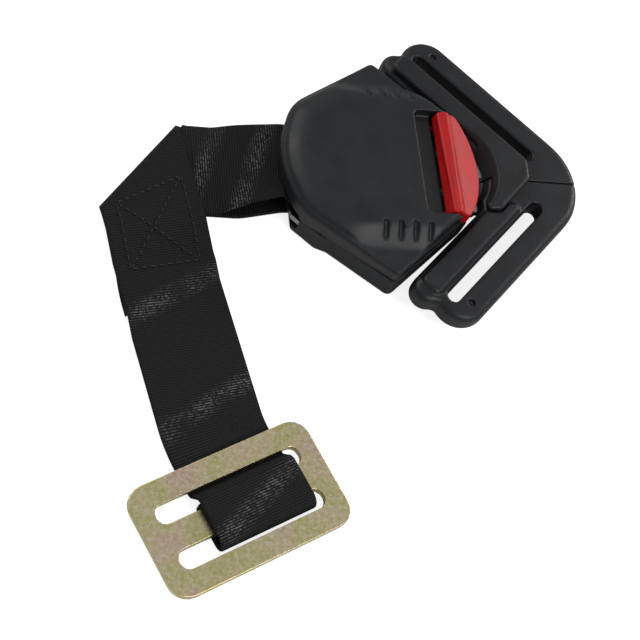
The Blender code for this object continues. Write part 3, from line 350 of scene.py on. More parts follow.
def rod(name, start, end, radius, sides, end_radius=None):
    """A round rod, tapered where end_radius is given."""
    start, end = Vector(start), Vector(end)
    bm = bmesh.new()
    bmesh.ops.create_cone(bm, cap_ends=True, segments=sides, radius1=radius,
                          radius2=radius if end_radius is None else end_radius,
                          depth=(end - start).length)
    turn = (end - start).to_track_quat("Z", "Y").to_matrix().to_4x4()
    bm.transform(Matrix.Translation((start + end) / 2) @ turn)
    return mesh_object(name, bm)


def prism(name, outline, low, high):
    """A flat outline from z = low to high."""
    curve = bpy.data.curves.new(name, "CURVE")
    curve.dimensions = "2D"
    curve.fill_mode = "BOTH"
    curve.extrude = (high - low) / 2
    spline = curve.splines.new("POLY")
    spline.points.add(len(outline) - 1)
    for point, (x, y) in zip(spline.points, outline):
        point.co = (x, y, 0.0, 1.0)
    spline.use_cyclic_u = True
    item = add_object(name, curve)
    mesh = evaluated_mesh(item)
    bpy.data.objects.remove(item)
    bm = bmesh.new()
    bm.from_mesh(mesh)
    bpy.data.meshes.remove(mesh)
    bmesh.ops.remove_doubles(bm, verts=bm.verts, dist=0.001)
    bm.transform(Matrix.Translation((0, 0, (low + high) / 2)))
    return mesh_object(name, bm)


def loft(name, rings):
    """A solid through rings of equally many points, with a flat face at each end."""
    bm = bmesh.new()
    rows = [[bm.verts.new(point) for point in ring] for ring in rings]
    count = len(rows[0])
    for lower, upper in zip(rows, rows[1:]):
        for i in range(count):
            j = (i + 1) % count
            bm.faces.new((lower[i], lower[j], upper[j], upper[i]))
    bmesh.ops.triangulate(bm, faces=bm.faces)
    bm.faces.new(list(reversed(rows[0])))
    bm.faces.new(rows[-1])
    return mesh_object(name, bm)


def shrink(outline, distance):
    """A fine outline moved inwards; edges along the loops' seam stay where they are."""
    count = len(outline)
    edges = []
    for i in range(count):
        a, b = Vector(outline[i]), Vector(outline[(i + 1) % count])
        along = (b - a).normalized()
        on_seam = abs(a.y) < ON_SEAM and abs(b.y) < ON_SEAM
        edges.append((Vector((-along.y, along.x)), 0.0 if on_seam else distance))
    moved = []
    for i in range(count):
        (n, d), (m, e) = edges[i - 1], edges[i]
        turn = n.cross(m)
        if abs(turn) > STRAIGHT_ON:
            step = Vector((d * m.y - e * n.y, e * n.x - d * m.x)) / turn
        else:
            step = (n + m).normalized() * (d + e) / 2
        if step.length > 2 * distance:
            step *= 2 * distance / step.length
        moved.append((outline[i][0] + step.x, outline[i][1] + step.y))
    return moved


def rounded_prism(name, outline, low, high, rim):
    """A flat outline from z = low to high, with round rims."""
    turns = [math.radians(90 / RIM_STEPS * k) for k in range(RIM_STEPS + 1)]
    quarter = [(rim * (1 - math.sin(a)), rim * (1 - math.cos(a))) for a in turns]
    levels = [(distance, low + rise) for distance, rise in quarter]
    levels += [(distance, high - rise) for distance, rise in reversed(quarter)]
    return loft(name, [[(x, y, z) for x, y in shrink(outline, distance)] for distance, z in levels])


def combine(item, operation, others):
    for other in others:
        step = item.modifiers.new(operation.lower(), "BOOLEAN")
        step.operation = operation
        step.solver = "EXACT"
        step.object = other


def fuse(item, *others):
    combine(item, "UNION", others)


def cut(item, *others):
    combine(item, "DIFFERENCE", others)


def soften(item, voxel, steps):
    """Crisp edges get the radii of real mouldings."""
    fine = item.modifiers.new("fine", "REMESH")
    fine.mode = "VOXEL"
    fine.voxel_size = voxel * MM
    fine.use_smooth_shade = True
    smooth = item.modifiers.new("smooth", "SMOOTH")
    smooth.factor = 0.5
    smooth.iterations = steps
    return item


def finished(item, name, material):
    """Applies every step, removes the helpers and returns the piece as a plain mesh."""
    mesh = evaluated_mesh(item)
    piece = add_object(name, mesh)
    mesh.name = name
    mesh.materials.clear()
    mesh.materials.append(material)
    mesh.shade_smooth()
    for helper in HELPERS:
        bpy.data.objects.remove(helper, do_unlink=True)
    HELPERS.clear()
    return piece


# Outlines

def arc(x, y, radius, start, end, steps):
    points = []
    for i in range(steps + 1):
        a = math.radians(start + (end - start) * i / steps)
        points.append((x + radius * math.cos(a), y + radius * math.sin(a)))
    return points


def rounded(corners, steps=6):
    """A closed outline through corners (x, y, radius)."""
    points = []
    for i, (x, y, radius) in enumerate(corners):
        here = Vector((x, y))
        before = (Vector(corners[i - 1][:2]) - here).normalized()
        after = (Vector(corners[(i + 1) % len(corners)][:2]) - here).normalized()
        half = before.angle(after) / 2
        centre = here + (before + after).normalized() * radius / math.sin(half)
        first = here + before * radius / math.tan(half) - centre
        last = here + after * radius / math.tan(half) - centre
        swing = first.angle_signed(last)
        for k in range(steps + 1):
            a = -swing * k / steps
            c, s = math.cos(a), math.sin(a)
            points.append((centre.x + first.x * c - first.y * s,
                           centre.y + first.x * s + first.y * c))
    return points


def inset(corners, distances):
    """Corners moved inwards; distances holds one value for each edge, from its first corner on."""
    count = len(corners)
    lines = []
    for i in range(count):
        a, b = Vector(corners[i][:2]), Vector(corners[(i + 1) % count][:2])
        along = (b - a).normalized()
        lines.append((a + Vector((-along.y, along.x)) * distances[i], along))
    moved = []
    for i in range(count):
        (p, u), (q, v) = lines[i - 1], lines[i]
        t = (q - p).cross(v) / u.cross(v)
        x, y = p + u * t
        step = (distances[i - 1] + distances[i]) / 2
        radius = corners[i][2] - step if u.cross(v) > 0 else corners[i][2] + step
        moved.append((x, y, max(radius, LEAST_RADIUS)))
    return moved


def smooth_step(value, low, high):
    share = np.clip((value - low) / (high - low), 0.0, 1.0)
    return share * share * (3 - 2 * share)


# Front cover, on the CAD cover's own outline

MOUTH_X = 38.0
MOUTH_HALF = 16.4
SHOULDER_X = 6.3
SHOULDER_HALF = 43.9
FLANK_X = -26.6
FLANK_HALF = 21.6
TAIL_APEX = -34.5
TAIL_R = 36.0
OUTLINE = [
    (MOUTH_X, -MOUTH_HALF, 1.0),
    (MOUTH_X, MOUTH_HALF, 1.0),
    (SHOULDER_X, SHOULDER_HALF, 2.5),
    (FLANK_X, FLANK_HALF, 16.0),
    (TAIL_APEX, 0.0, TAIL_R),
    (FLANK_X, -FLANK_HALF, 16.0),
    (SHOULDER_X, -SHOULDER_HALF, 2.5),
]
CORNER_STEPS = 12        # steps of each corner of a ring
SIDE_STEPS = 15          # extra points on each side of a ring

PARTING_Z = 9.6          # where the covers part
GAP = 0.3
WALL = 2.0
ROOF = 2.7               # wall under the dome, thick enough for the grooves
EDGE_LOW = 17.4          # height of the top's edge from the mouth to the shoulders
EDGE_HIGH = 19.8         # and at the tail
CROWN_Z = 23.0           # top of the dome
DOME_RUN = 15.5          # from this far inside its edge on, the dome is flat
MOUTH_RUN = 5.5          # the same near the mouth
SLOPE_HEAD = 23.5        # half width where the finger slopes begin
SLOPE_FOOT = 36.0        # half width where they end
SLOPE_LIFT = 0.2         # their end over the lower edge
BLEND = 1.2              # height over which the edge's curve and the finger slopes flow together
PEAK = CROWN_Z + BLEND / 4         # both aim this high, because the blend takes BLEND / 4 off where they meet

FOOT_INSETS = [0.2, 0.4, 1.8, 0.9, 0.9, 1.8, 0.4]      # of the parting line, for each side of the outline
EDGE_ROLL = [(0.0, -2.2), (0.1, -0.8), (0.5, -0.2), (1.1, 0.05)]     # depth inside the edge, height over it
RING_STEP = 0.75         # between the rings of the dome, from the first on
FIRST_RING = 2.0
HOLLOW_EDGE = 3.4        # how far under the top's edge the hollow begins to close
HOLLOW_RINGS = (WALL + 2.6, 5.5, 6.5, 7.5, 8.5, 10.0, 12.0, 13.5, DOME_RUN)

GROOVE_X = 1.9           # the first of the finger grooves
GROOVE_PITCH = 5.45
GROOVE_COUNT = 4
GROOVE_IN = 25.2
GROOVE_OUT = 31.3
GROOVE_WIDTH = 1.1
GROOVE_SIDES = 12

BUTTON_BACK = 25.2
BUTTON_SIDE = 21.0
POCKET_BACK = 17.8
POCKET_FLOOR = 19.4
DECK = 1.8
TUB_LOW = 12.3           # the tub is the wall round the button's travel pocket
TUB_TOP = CROWN_Z - 1.4
SLOT_HALF = 13.6         # the slot in the mouth for the tongues
SLOT_TOP = 12.6
SLOT_DEEP = 5
STRAP_HALF = 19.45
ARCH_FRONT = -21.0       # the arch in the tail for the strap
ARCH_TOP = 11.9
COVER_VOXEL = 0.40
COVER_SMOOTHING = 7
REAR_SMOOTHING = 4


def edge_z(x):
    return EDGE_LOW + (EDGE_HIGH - EDGE_LOW) * smooth_step(-x, -SHOULDER_X, -FLANK_X)


def dome_z(x, y, depth):
    """Height of the domed top at a place that is depth inside the edge."""
    edge = edge_z(x)
    run = MOUTH_RUN + (DOME_RUN - MOUTH_RUN) * smooth_step(-x, -MOUTH_X / 2, 0.0)
    over_edge = edge + (PEAK - edge) * (1.0 - (1.0 - min(depth / run, 1.0)) ** 3)
    fall = smooth_step(abs(y), SLOPE_HEAD, SLOPE_FOOT)
    slope = EDGE_LOW + SLOPE_LIFT + (PEAK - EDGE_LOW - SLOPE_LIFT) * (1 - fall)
    soft = 0.5 + 0.5 * (slope - over_edge) / BLEND
    if 0.0 < soft < 1.0:
        return slope + (over_edge - slope) * soft - BLEND * soft * (1 - soft)
    return min(over_edge, slope)


def body_ring(distances):
    """The outline inside the body's edges, with extra points along each long side."""
    outline = rounded(inset(OUTLINE, distances), CORNER_STEPS)
    points = []
    for i, (x, y) in enumerate(outline):
        ahead = outline[(i + 1) % len(outline)]
        points.append((x, y))
        if i % (CORNER_STEPS + 1) == CORNER_STEPS:
            for k in range(1, SIDE_STEPS + 1):
                share = k / (SIDE_STEPS + 1)
                points.append((x + (ahead[0] - x) * share, y + (ahead[1] - y) * share))
    return points


def dome_insets(depth, front=0.0):
    """The mouth and the front sides close in more slowly, so that the rings never cross."""
    mouth = front + min(depth, 1.0) + 0.08 * depth
    side = 0.7 * depth
    return [mouth, side, depth, depth, depth, depth, side]


def edge_ring(depth, level, front=0.0):
    return [(x, y, edge_z(x) + level) for x, y in body_ring(dome_insets(depth, front))]


def dome_ring(depth, drop=0.0, front=0.0):
    outline = body_ring(dome_insets(depth, front))
    if depth >= DOME_RUN:
        return [(x, y, CROWN_Z - drop) for x, y in outline]
    return [(x, y, dome_z(x, y, depth) - drop) for x, y in outline]


def flat_ring(distances, z):
    return [(x, y, z) for x, y in body_ring(distances)]


def groove(x, side):
    """A finger groove with a deeper, hooked inner end."""
    radius = GROOVE_WIDTH / 2
    start_z = dome_z(x, GROOVE_IN, DOME_RUN) - GROOVE_WIDTH * 0.2
    start = Vector((x, side * GROOVE_IN, start_z))
    end = Vector((x, side * GROOVE_OUT, dome_z(x, GROOVE_OUT, DOME_RUN) + 0.05))
    hook = start + Vector((-0.9, side * 0.35, 0.0))
    return (rod("groove", start, end, radius + 0.4, GROOVE_SIDES, radius + 0.2),
            rod("hook", hook, start, radius + 0.15, GROOVE_SIDES))


def cover_shell():
    """The outer form, hollowed from below."""
    rings = [flat_ring(FOOT_INSETS, PARTING_Z + GAP)]
    rings += [edge_ring(depth, level) for depth, level in EDGE_ROLL]
    depths = [float(depth) for depth in np.arange(FIRST_RING, DOME_RUN, RING_STEP)] + [DOME_RUN]
    rings += [dome_ring(depth) for depth in depths]
    shell = loft("shell", rings)
    hollow = [flat_ring([value + WALL for value in FOOT_INSETS], PARTING_Z - 1)]
    hollow.append(edge_ring(WALL, -HOLLOW_EDGE, WALL))
    hollow += [dome_ring(depth, ROOF, WALL) for depth in HOLLOW_RINGS]
    cut(shell, loft("hollow", hollow))
    return shell


def tub_outline():
    """Round the travel pocket, and out to the mouth along the front sides."""
    back = POCKET_BACK - 1.5
    side = BUTTON_SIDE + DECK
    edge_run = (MOUTH_X - SHOULDER_X) / (SHOULDER_HALF - MOUTH_HALF)
    slope_x = MOUTH_X - (BUTTON_SIDE + DECK + 1 - MOUTH_HALF) * edge_run
    front_x = MOUTH_X - 0.6
    front_y = MOUTH_HALF - 0.3
    return [(back, -side), (slope_x, -side), (front_x, -front_y),
            (front_x, front_y), (slope_x, side), (back, side)]


def under_deck_outline():
    """The room below the pocket's floor, inside the front sides."""
    back = POCKET_BACK - 1.5 + WALL
    room = inset(OUTLINE, [1.6] + [1.8] * 6)
    front, shoulder = Vector(room[1][:2]), Vector(room[2][:2])
    turn_x = front.lerp(shoulder, (BUTTON_SIDE - front.y) / (shoulder.y - front.y)).x
    return [(back, -BUTTON_SIDE), (turn_x, -BUTTON_SIDE), (front.x, -front.y),
            (front.x, front.y), (turn_x, BUTTON_SIDE), (back, BUTTON_SIDE)]


def front_cover():
    shell = cover_shell()
    fuse(shell, prism("tub", tub_outline(), TUB_LOW, TUB_TOP))
    side = BUTTON_SIDE
    far = MOUTH_X + 6
    above = CROWN_Z + 5
    below = PARTING_Z - 1
    deck_low = POCKET_FLOOR - DECK
    pocket = rounded([(POCKET_BACK, -side, 2.5), (far, -side, 0.3), (far, side, 0.3), (POCKET_BACK, side, 2.5)])
    cut(shell,
        prism("pocket", pocket, POCKET_FLOOR, above),
        box("opening", (BUTTON_BACK - GAP, -side, deck_low - WALL), (far, side, above)),
        prism("under_deck", under_deck_outline(), PARTING_Z, deck_low),
        box("mouth", (MOUTH_X - SLOT_DEEP, -SLOT_HALF, below), (far, SLOT_HALF, SLOT_TOP)),
        box("tail_arch", (TAIL_APEX - 4, -STRAP_HALF, below), (ARCH_FRONT, STRAP_HALF, ARCH_TOP)))
    for i in range(GROOVE_COUNT):
        for groove_side in (1, -1):
            cut(shell, *groove(GROOVE_X + i * GROOVE_PITCH, groove_side))
    return soften(shell, COVER_VOXEL, COVER_SMOOTHING)


# Tongue loops, on the CAD loops' outlines; the upper loop is on the +Y side, side = 1

SEAM = 0.15              # half the gap between the loops
LOOP_END = (30.0, 48.2)
LOOP_END_R = 9.9
LOBE = (18.0, 45.7)
LOBE_R = 5.8
ROOT_X = 42.5
ARM_IN = 55.5            # x + y of the arm's inner edge
ARM_OUT = 92.3           # x + y of its outer edge
TIP_R = 24.1
LOOP_LOW = 6.0
LOOP_TOP = 14.4
LOOP_RIM = 2.6

SLOT_LINE = 75.3         # x + y of the webbing slot
SLOT_NEAR = 52.4         # x - y of its ends
SLOT_FAR = -21.8
SLOT_WIDTH = 4.7

RIB_IN = 58.0            # x + y of the raised bar's edges
RIB_OUT = 70.0
RIB_END = -29.5          # x - y of its outer end
RIB_FOOT = 4.0           # how deep it starts in the arm
RIB_TOPS = {1: 17.4, -1: 15.8}
RIB_RIM = 1.3

BLOCK = [
    (ROOT_X + 1, -14.5, 1.8),
    (49.0, -14.5, 2.4),
    (62.3, -0.6, 3.0),
    (62.3, 7.7, 2.4),
    (52.0, 18.0, 1.8),
    (ROOT_X + 1, 15.0, 1.8),
]
BLOCK_RIM = 1.1

SCOOP = (29.0, 1.5)      # the thumb scoop: a cone that opens upwards
SCOOP_R = 16.4
SCOOP_FLARE = 6.1
SCOOP_FLOOR = 11.6
SCOOP_TOP = 19.4

TANG_END = 56.8          # the room that each blade's tang fills
TANG_IN = 1.2
TANG_OUT = 12.5
TANG_HEIGHT = 2.4
BLADE_ROOM = {1: 9.3, -1: 7.2}

PIN = (32.8, 51.1)       # the ejector pin's round mark
PIN_R = 1.25
PIN_DEPTH = 1.6

GRIP_VOXEL = 0.36
GRIP_SMOOTHING = 12


def on_arm(total, difference):
    """A point of the +Y arm from x + y and x - y."""
    return ((total + difference) / 2, (total - difference) / 2)


def mirrored(outline):
    return [(x, -y) for x, y in reversed(outline)]


def arm_outline():
    """Outer edge of the +Y loop, anticlockwise from the tip of the seam."""
    tip_x = ARM_OUT - TIP_R * math.sqrt(2)
    seam_angle = math.degrees(math.asin(SEAM / TIP_R))
    outline = arc(tip_x, 0, TIP_R, seam_angle, 45, 12)
    outline += arc(*LOOP_END, LOOP_END_R, 45, 158, 20)
    outline += arc(*LOBE, LOBE_R, 80, 225, 18)
    outline += [(ROOT_X, ARM_IN - ROOT_X), (ROOT_X, SEAM)]
    return outline


def rib_outline():
    return rounded([(*on_arm(RIB_IN, RIB_END), 2.5), (*on_arm(RIB_IN, RIB_IN - 26), 2.0),
                    (*on_arm(RIB_OUT, RIB_OUT - 16.2), 2.0), (*on_arm(RIB_OUT, RIB_END), 2.5)])


def slot_cutter(side):
    """The webbing slot, flared at both faces."""
    near, far = on_arm(SLOT_LINE, SLOT_NEAR), on_arm(SLOT_LINE, SLOT_FAR)
    levels = ((LOOP_LOW - 0.1, 0.8), (LOOP_LOW + 0.8, 0.0), (LOOP_TOP - 0.6, 0.0), (LOOP_TOP + 0.1, 0.6))
    rings = []
    for z, flare in levels:
        radius = SLOT_WIDTH / 2 + flare
        outline = arc(*near, radius, -135, 45, 14) + arc(*far, radius, 45, 225, 14)
        rings.append([(x, side * y, z) for x, y in outline])
    return loft("slot", rings)


def block_outline(spread=0.0):
    return rounded(inset(BLOCK, [-spread] * len(BLOCK)))


def tongue_grip(side):
    """One loop; the upper one carries the block, and the lower one's bar makes room for it."""
    rib_top = RIB_TOPS[side]
    outline, rib = arm_outline(), rib_outline()
    if side < 0:
        outline, rib = mirrored(outline), mirrored(rib)
    grip = rounded_prism("grip", outline, LOOP_LOW, LOOP_TOP, LOOP_RIM)
    cut(grip, slot_cutter(side))
    raised = rounded_prism("rib", rib, LOOP_TOP - RIB_FOOT, rib_top, RIB_RIM)
    if side > 0:
        fuse(grip, raised, rounded_prism("block", block_outline(), LOOP_TOP + GAP, rib_top, BLOCK_RIM))
    else:
        cut(raised, prism("block_room", block_outline(GAP), LOOP_TOP - 3, rib_top + 3))
        fuse(grip, raised)
    pin_x, pin_y = PIN
    y_low, y_high = sorted((side * TANG_IN, side * TANG_OUT))
    tang_low = BLADE_ROOM[side]
    cut(grip,
        rod("scoop", (*SCOOP, SCOOP_FLOOR), (*SCOOP, SCOOP_TOP), SCOOP_R, 96, SCOOP_R + SCOOP_FLARE),
        box("tang_room", (ROOT_X - 3, y_low, tang_low), (TANG_END, y_high, tang_low + TANG_HEIGHT)),
        rod("pin_mark", (pin_x, side * pin_y, LOOP_TOP - PIN_DEPTH), (pin_x, side * pin_y, LOOP_TOP + 1),
            PIN_R, 16))
    return soften(grip, GRIP_VOXEL, GRIP_SMOOTHING)


# Release button, on its own node's form

LIP_REACH = 1.5          # the back of the lip ends this far in front of the button's back
LIP_BACK = 1.6           # how far it is drawn forwards at the button's middle
LIP_TAPER = 1.3          # how much less on the +Y side than on the other
LIP_LOW = 20.0           # heights between which the drawing sets in
LIP_HIGH = 22.6
BUTTON_VOXEL = 0.24
BUTTON_SMOOTHING = 15


def add_button(material):
    """The node's own form, with the back of its lip drawn forwards at the top, as in the photograph."""
    node = NODES["release_button"]
    mesh = node.data.copy()
    mesh.transform(node.matrix_world)
    for vertex in mesh.vertices:
        x, y, z = vertex.co / MM
        if x < BUTTON_BACK + LIP_REACH:
            lean = (LIP_BACK - LIP_TAPER * y / (2 * BUTTON_SIDE)) * smooth_step(z, LIP_LOW, LIP_HIGH)
            vertex.co.x += float(lean) * MM
    shaped = add_object("button_shape", mesh)
    HELPERS.append(shaped)
    soften(shaped, BUTTON_VOXEL, BUTTON_SMOOTHING)
    piece = finished(shaped, "release_button_moulding", material)
    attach(piece, "button")
    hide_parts("release_button")


# The slide's stamped edges, tumbled round

SLIDE_RIM = 0.75
SLIDE_RIM_STEPS = 4
SLIDE_EDGE_ANGLE = 55    # only edges that turn by more than this are rounded


def round_slide():
    rims = NODES["anchor_slide"].modifiers.new("rims", "BEVEL")
    rims.width = SLIDE_RIM * MM
    rims.segments = SLIDE_RIM_STEPS
    rims.limit_method = "ANGLE"
    rims.angle_limit = math.radians(SLIDE_EDGE_ANGLE)


def add_mouldings(slots):
    """Finer front cover, loops and button; the nodes of the rear cover and the slide get round edges."""
    jobs = [
        ("front_cover_moulding", "front_cover", "housing", BODY, front_cover, ()),
        ("left_loop_moulding", "tongue_grip_left", "tongue_moulding", "left_tongue", tongue_grip, (1,)),
        ("right_loop_moulding", "tongue_grip_right", "tongue_moulding", "right_tongue", tongue_grip, (-1,)),
    ]
    for name, node, slot, body, make, settings in jobs:
        piece = finished(make(*settings), name, slots[slot])
        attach(piece, body)
        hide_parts(node)
    soften(NODES["rear_cover"], COVER_VOXEL, REAR_SMOOTHING)
    add_button(slots["button_red"])
    round_slide()


# Webbing strap, on the CAD strap's route

WEB_WIDTH = 35.5
WEB_THICK = 1.3
WEB_SELVEDGE = 0.5
WEB_OFFSET = 2.2         # the strap's middle line, towards +Y
LAYER_GAP = 0.3
LAYER = WEB_THICK + LAYER_GAP
BASE_X = -58.0           # where both routes start, on the table
FOLD_X = -74.4
FOLD_ANGLE = 51.0        # of the fold line with the strap
SLANT = 90.0 - FOLD_ANGLE
INNER_FOLD_R = LAYER / 2
OUTER_FOLD_R = LAYER * 1.5

EYE_BACK = -28.0
EYE_BAR = 3.5
LOOP_R = 3.15            # of the strap's turn round the eye's bar
STRAP_LOWER_Z = 4.0
STRAP_UPPER_Z = STRAP_LOWER_Z + 2 * LOOP_R
SQUEEZE = 3.4            # how much narrower the strap is in the eye
SQUEEZE_RUN = 22.0
UNDER_DRIFT = 3.5        # how far the lower layer has moved aside past the fold
DRIFT_RUN = 27.0

DESCENT = 22.5           # distances past the fold: the step down beside the cut end
UNDER_END = 45.6         # the cut end of the lower layer
END_CLEAR = 0.4
END_SLANT = 25.5         # of the cut end
END_RUN = 24.0           # over which the rows of ribs turn to that slant
EDGE_TURN = 93.9         # the turn in the strap's own plane
TURN_LENGTH = 12.0
SLIDE_TURN = 12.7
RISE_ANGLE = 62.0        # up to the slide's top
SLIDE_SHORT = 38.5
SLIDE_THICK = 2.5
SLIDE_SLOT = 6.65
SLIDE_MID_BAR = 9.2

# Smooth steps of the strap: angle, radius
UP_TO_EYE = (13, 7)
DOWN_FROM_EYE = (20, 8)
BESIDE_END = (15, 8)
OVER_END = (14, 5)

RIB_DEPTH = 0.14
ROW = RIB / 2
ACROSS_STEPS = 36

EDGE_LIFT = 2.6          # how far the top layer's loose edge stands up near the buckle
EDGE_SHIFT = 1.6         # how far it leans inwards there
LOOSE_ACROSS = (2.0, 15.0)         # between these distances from the middle line it comes loose
LOOSE_FROM_X = (-54.0, -40.0)      # it rises between these
LOOSE_TO_X = (-31.0, -27.5)        # and falls between these


def go(length):
    return [("go", length)]


def bend(angle, radius, slant=0.0):
    """Turns towards the strap's upper face, or away from it where the angle is negative."""
    return [("bend", math.radians(angle), radius, math.radians(slant))]


def turn_in_plane(angle, length):
    return [("turn", math.radians(angle), length)]


def jog(height, angle, radius, slant=0.0):
    """A smooth step towards the upper face, or away from it where the height is negative."""
    a = math.radians(angle)
    straight = (abs(height) - 2 * radius * (1 - math.cos(a))) / math.sin(a)
    sign = 1 if height > 0 else -1
    middle = go(straight / math.cos(math.radians(slant)))
    return bend(sign * angle, radius, slant) + middle + bend(-sign * angle, radius, slant)


def jog_run(height, angle, radius):
    """How far a smooth step carries the strap on."""
    a = math.radians(angle)
    straight = (abs(height) - 2 * radius * (1 - math.cos(a))) / math.sin(a)
    return 2 * radius * math.sin(a) + straight * math.cos(a)


def lay_out(steps):
    """Bends as (start, slant, signed radius, arc length, in_plane), and the centre line's length."""
    travelled, bends = 0.0, []
    for kind, amount, *rest in steps:
        if kind == "go":
            travelled += amount
        elif kind == "bend":
            radius, slant = rest
            bends.append((travelled, slant, math.copysign(radius, amount), radius * abs(amount), False))
            travelled += radius * abs(amount) / math.cos(slant)
        else:
            length = rest[0]
            bends.append((travelled, 0.0, length / amount, length, True))
            travelled += length
    return bends, travelled


def folded(points, along, across, bends):
    """Where points of the flat strap end up; along and across say which bends each has passed."""
    place = np.array(points, float)
    for start, slant, radius, length, in_plane in reversed(bends):
        ahead = np.array([math.cos(slant), math.sin(slant), 0.0])
        distance = np.clip((along - start) * ahead[0] + across * ahead[1], 0.0, length)
        if in_plane:
            centre, axis = np.array([start, radius, 0.0]), np.array([0.0, 0.0, 1.0])
        else:
            centre, axis = np.array([start, 0.0, radius]), np.array([ahead[1], -ahead[0], 0.0])
        angle = (distance / radius)[:, None]
        arm = place - ahead * distance[:, None] - centre
        along_axis = (arm @ axis)[:, None] * axis
        place = centre + arm * np.cos(angle) + np.cross(axis, arm) * np.sin(angle) \
            + along_axis * (1 - np.cos(angle))
    return place


def after_fold(radius):
    """How far a slanted fold carries the centre line on, past the fold line."""
    slant = math.radians(SLANT)
    return math.pi * radius * math.tan(slant) * math.sin(slant)


def buckle_route():
    """From the table through the frame's eye, back to the fold and down to the cut end."""
    rise = STRAP_LOWER_Z - WEB_THICK / 2
    drop = STRAP_UPPER_Z - WEB_THICK / 2 - LAYER
    loop_x = EYE_BACK + EYE_BAR - 0.65
    flat_end = EYE_BACK - 0.5
    low_run = jog_run(rise, *UP_TO_EYE)
    high_run = jog_run(drop, *DOWN_FROM_EYE)
    steps = go(flat_end - low_run - BASE_X) + jog(rise, *UP_TO_EYE) + go(loop_x - flat_end)
    steps += bend(180, LOOP_R) + go(loop_x - EYE_BACK) + jog(drop, *DOWN_FROM_EYE)
    steps += go(EYE_BACK - high_run - FOLD_X)
    steps += bend(-180, INNER_FOLD_R, SLANT)
    steps += go(DESCENT - after_fold(INNER_FOLD_R)) + jog(-2 * LAYER, *BESIDE_END)
    steps += go(UNDER_END - DESCENT - jog_run(2 * LAYER, *BESIDE_END))
    return steps


def slide_route():
    """From the table through the fold, down to the slide and one and a half times round its middle bar."""
    steps = go(BASE_X - FOLD_X) + bend(180, OUTER_FOLD_R, SLANT)
    steps += go(DESCENT - after_fold(OUTER_FOLD_R)) + jog(2 * LAYER, *BESIDE_END)
    first_run = jog_run(2 * LAYER, *BESIDE_END)
    second_run = jog_run(LAYER, *OVER_END) / math.cos(math.radians(END_SLANT))
    steps += go(UNDER_END + END_CLEAR - DESCENT - first_run) + jog(LAYER, *OVER_END, END_SLANT)
    steps += go(EDGE_TURN - UNDER_END - END_CLEAR - second_run) + turn_in_plane(SLIDE_TURN, TURN_LENGTH)

    half_bar = SLIDE_MID_BAR / 2
    entry = half_bar + SLIDE_SLOT + 0.3
    height = 2 * LAYER + SLIDE_THICK + LAYER_GAP
    r_up, r_over = 1.9, 2.6
    a = math.radians(RISE_ANGLE)
    straight = (height - (r_up + r_over) * (1 - math.cos(a))) / math.sin(a)
    crest = entry - (r_up + r_over) * math.sin(a) - straight * math.cos(a)
    steps += go(SLIDE_SHORT / 2 + 0.2 - entry)
    steps += bend(-RISE_ANGLE, r_up) + go(straight) + bend(RISE_ANGLE, r_over)

    r_down = 3.6
    r_under = height - r_down
    low_edge = half_bar + SLIDE_SLOT - WEB_THICK / 2 - 1.1
    steps += go(crest + low_edge - r_down) + bend(90, r_down) + bend(90, r_under)

    r_inner = 0.95
    back = half_bar + GAP + WEB_THICK / 2
    steps += go(low_edge - r_under + back - r_inner) + bend(90, r_inner)
    steps += go(LAYER + SLIDE_THICK + LAYER_GAP - 2 * r_inner) + bend(90, r_inner)
    steps += go(back - r_inner + half_bar - 1.6)
    return steps


TO_BUCKLE, BUCKLE_LENGTH = lay_out(buckle_route())
TO_SLIDE, SLIDE_LENGTH = lay_out(slide_route())


def strap_points(along, across, height, heading):
    """World places in millimetres of points of the flat strap; heading is +1 or -1 along X."""
    bends = TO_BUCKLE if heading > 0 else TO_SLIDE
    if heading > 0:
        eye = EYE_BACK + EYE_BAR - BASE_X
        loop = math.pi * LOOP_R
        in_eye = 1.0 - smooth_step(np.abs(along - eye - loop / 2), loop / 2, loop / 2 + SQUEEZE_RUN)
        across = across * (1.0 - SQUEEZE / WEB_WIDTH * in_eye)
        fold, slant = next((start, slant) for start, slant, *_ in bends if slant)
        past = (along - fold) * math.cos(slant) + across * math.sin(slant) - math.pi * INNER_FOLD_R
        across = across - UNDER_DRIFT * smooth_step(past, 0.0, DRIFT_RUN)
    place = folded(np.stack([along, across, height], 1), along, across, bends)
    place[:, 0] = BASE_X + heading * place[:, 0]
    place[:, 1] += WEB_OFFSET
    place[:, 2] += WEB_THICK / 2
    if heading > 0:
        past_eye = smooth_step(along, eye + loop, eye + loop + 3)
        upper = past_eye * (1 - smooth_step(along, fold - 16, fold - 10))
        bell = smooth_step(place[:, 0], *LOOSE_FROM_X) * (1 - smooth_step(place[:, 0], *LOOSE_TO_X))
        loose = upper * bell * smooth_step(-place[:, 1], *LOOSE_ACROSS)
        place[:, 2] += EDGE_LIFT * loose
        place[:, 1] += EDGE_SHIFT * loose
    return place


def section():
    """Half of the strap's section as (across, share of the half thickness), from edge to edge."""
    half = WEB_WIDTH / 2
    inner = half - WEB_SELVEDGE
    flat = [(-inner + 2 * inner * i / ACROSS_STEPS, 1.0) for i in range(ACROSS_STEPS + 1)]
    return [(-half, 0.0), (-half + 0.15, 0.7)] + flat + [(half - 0.15, 0.7), (half, 0.0)]


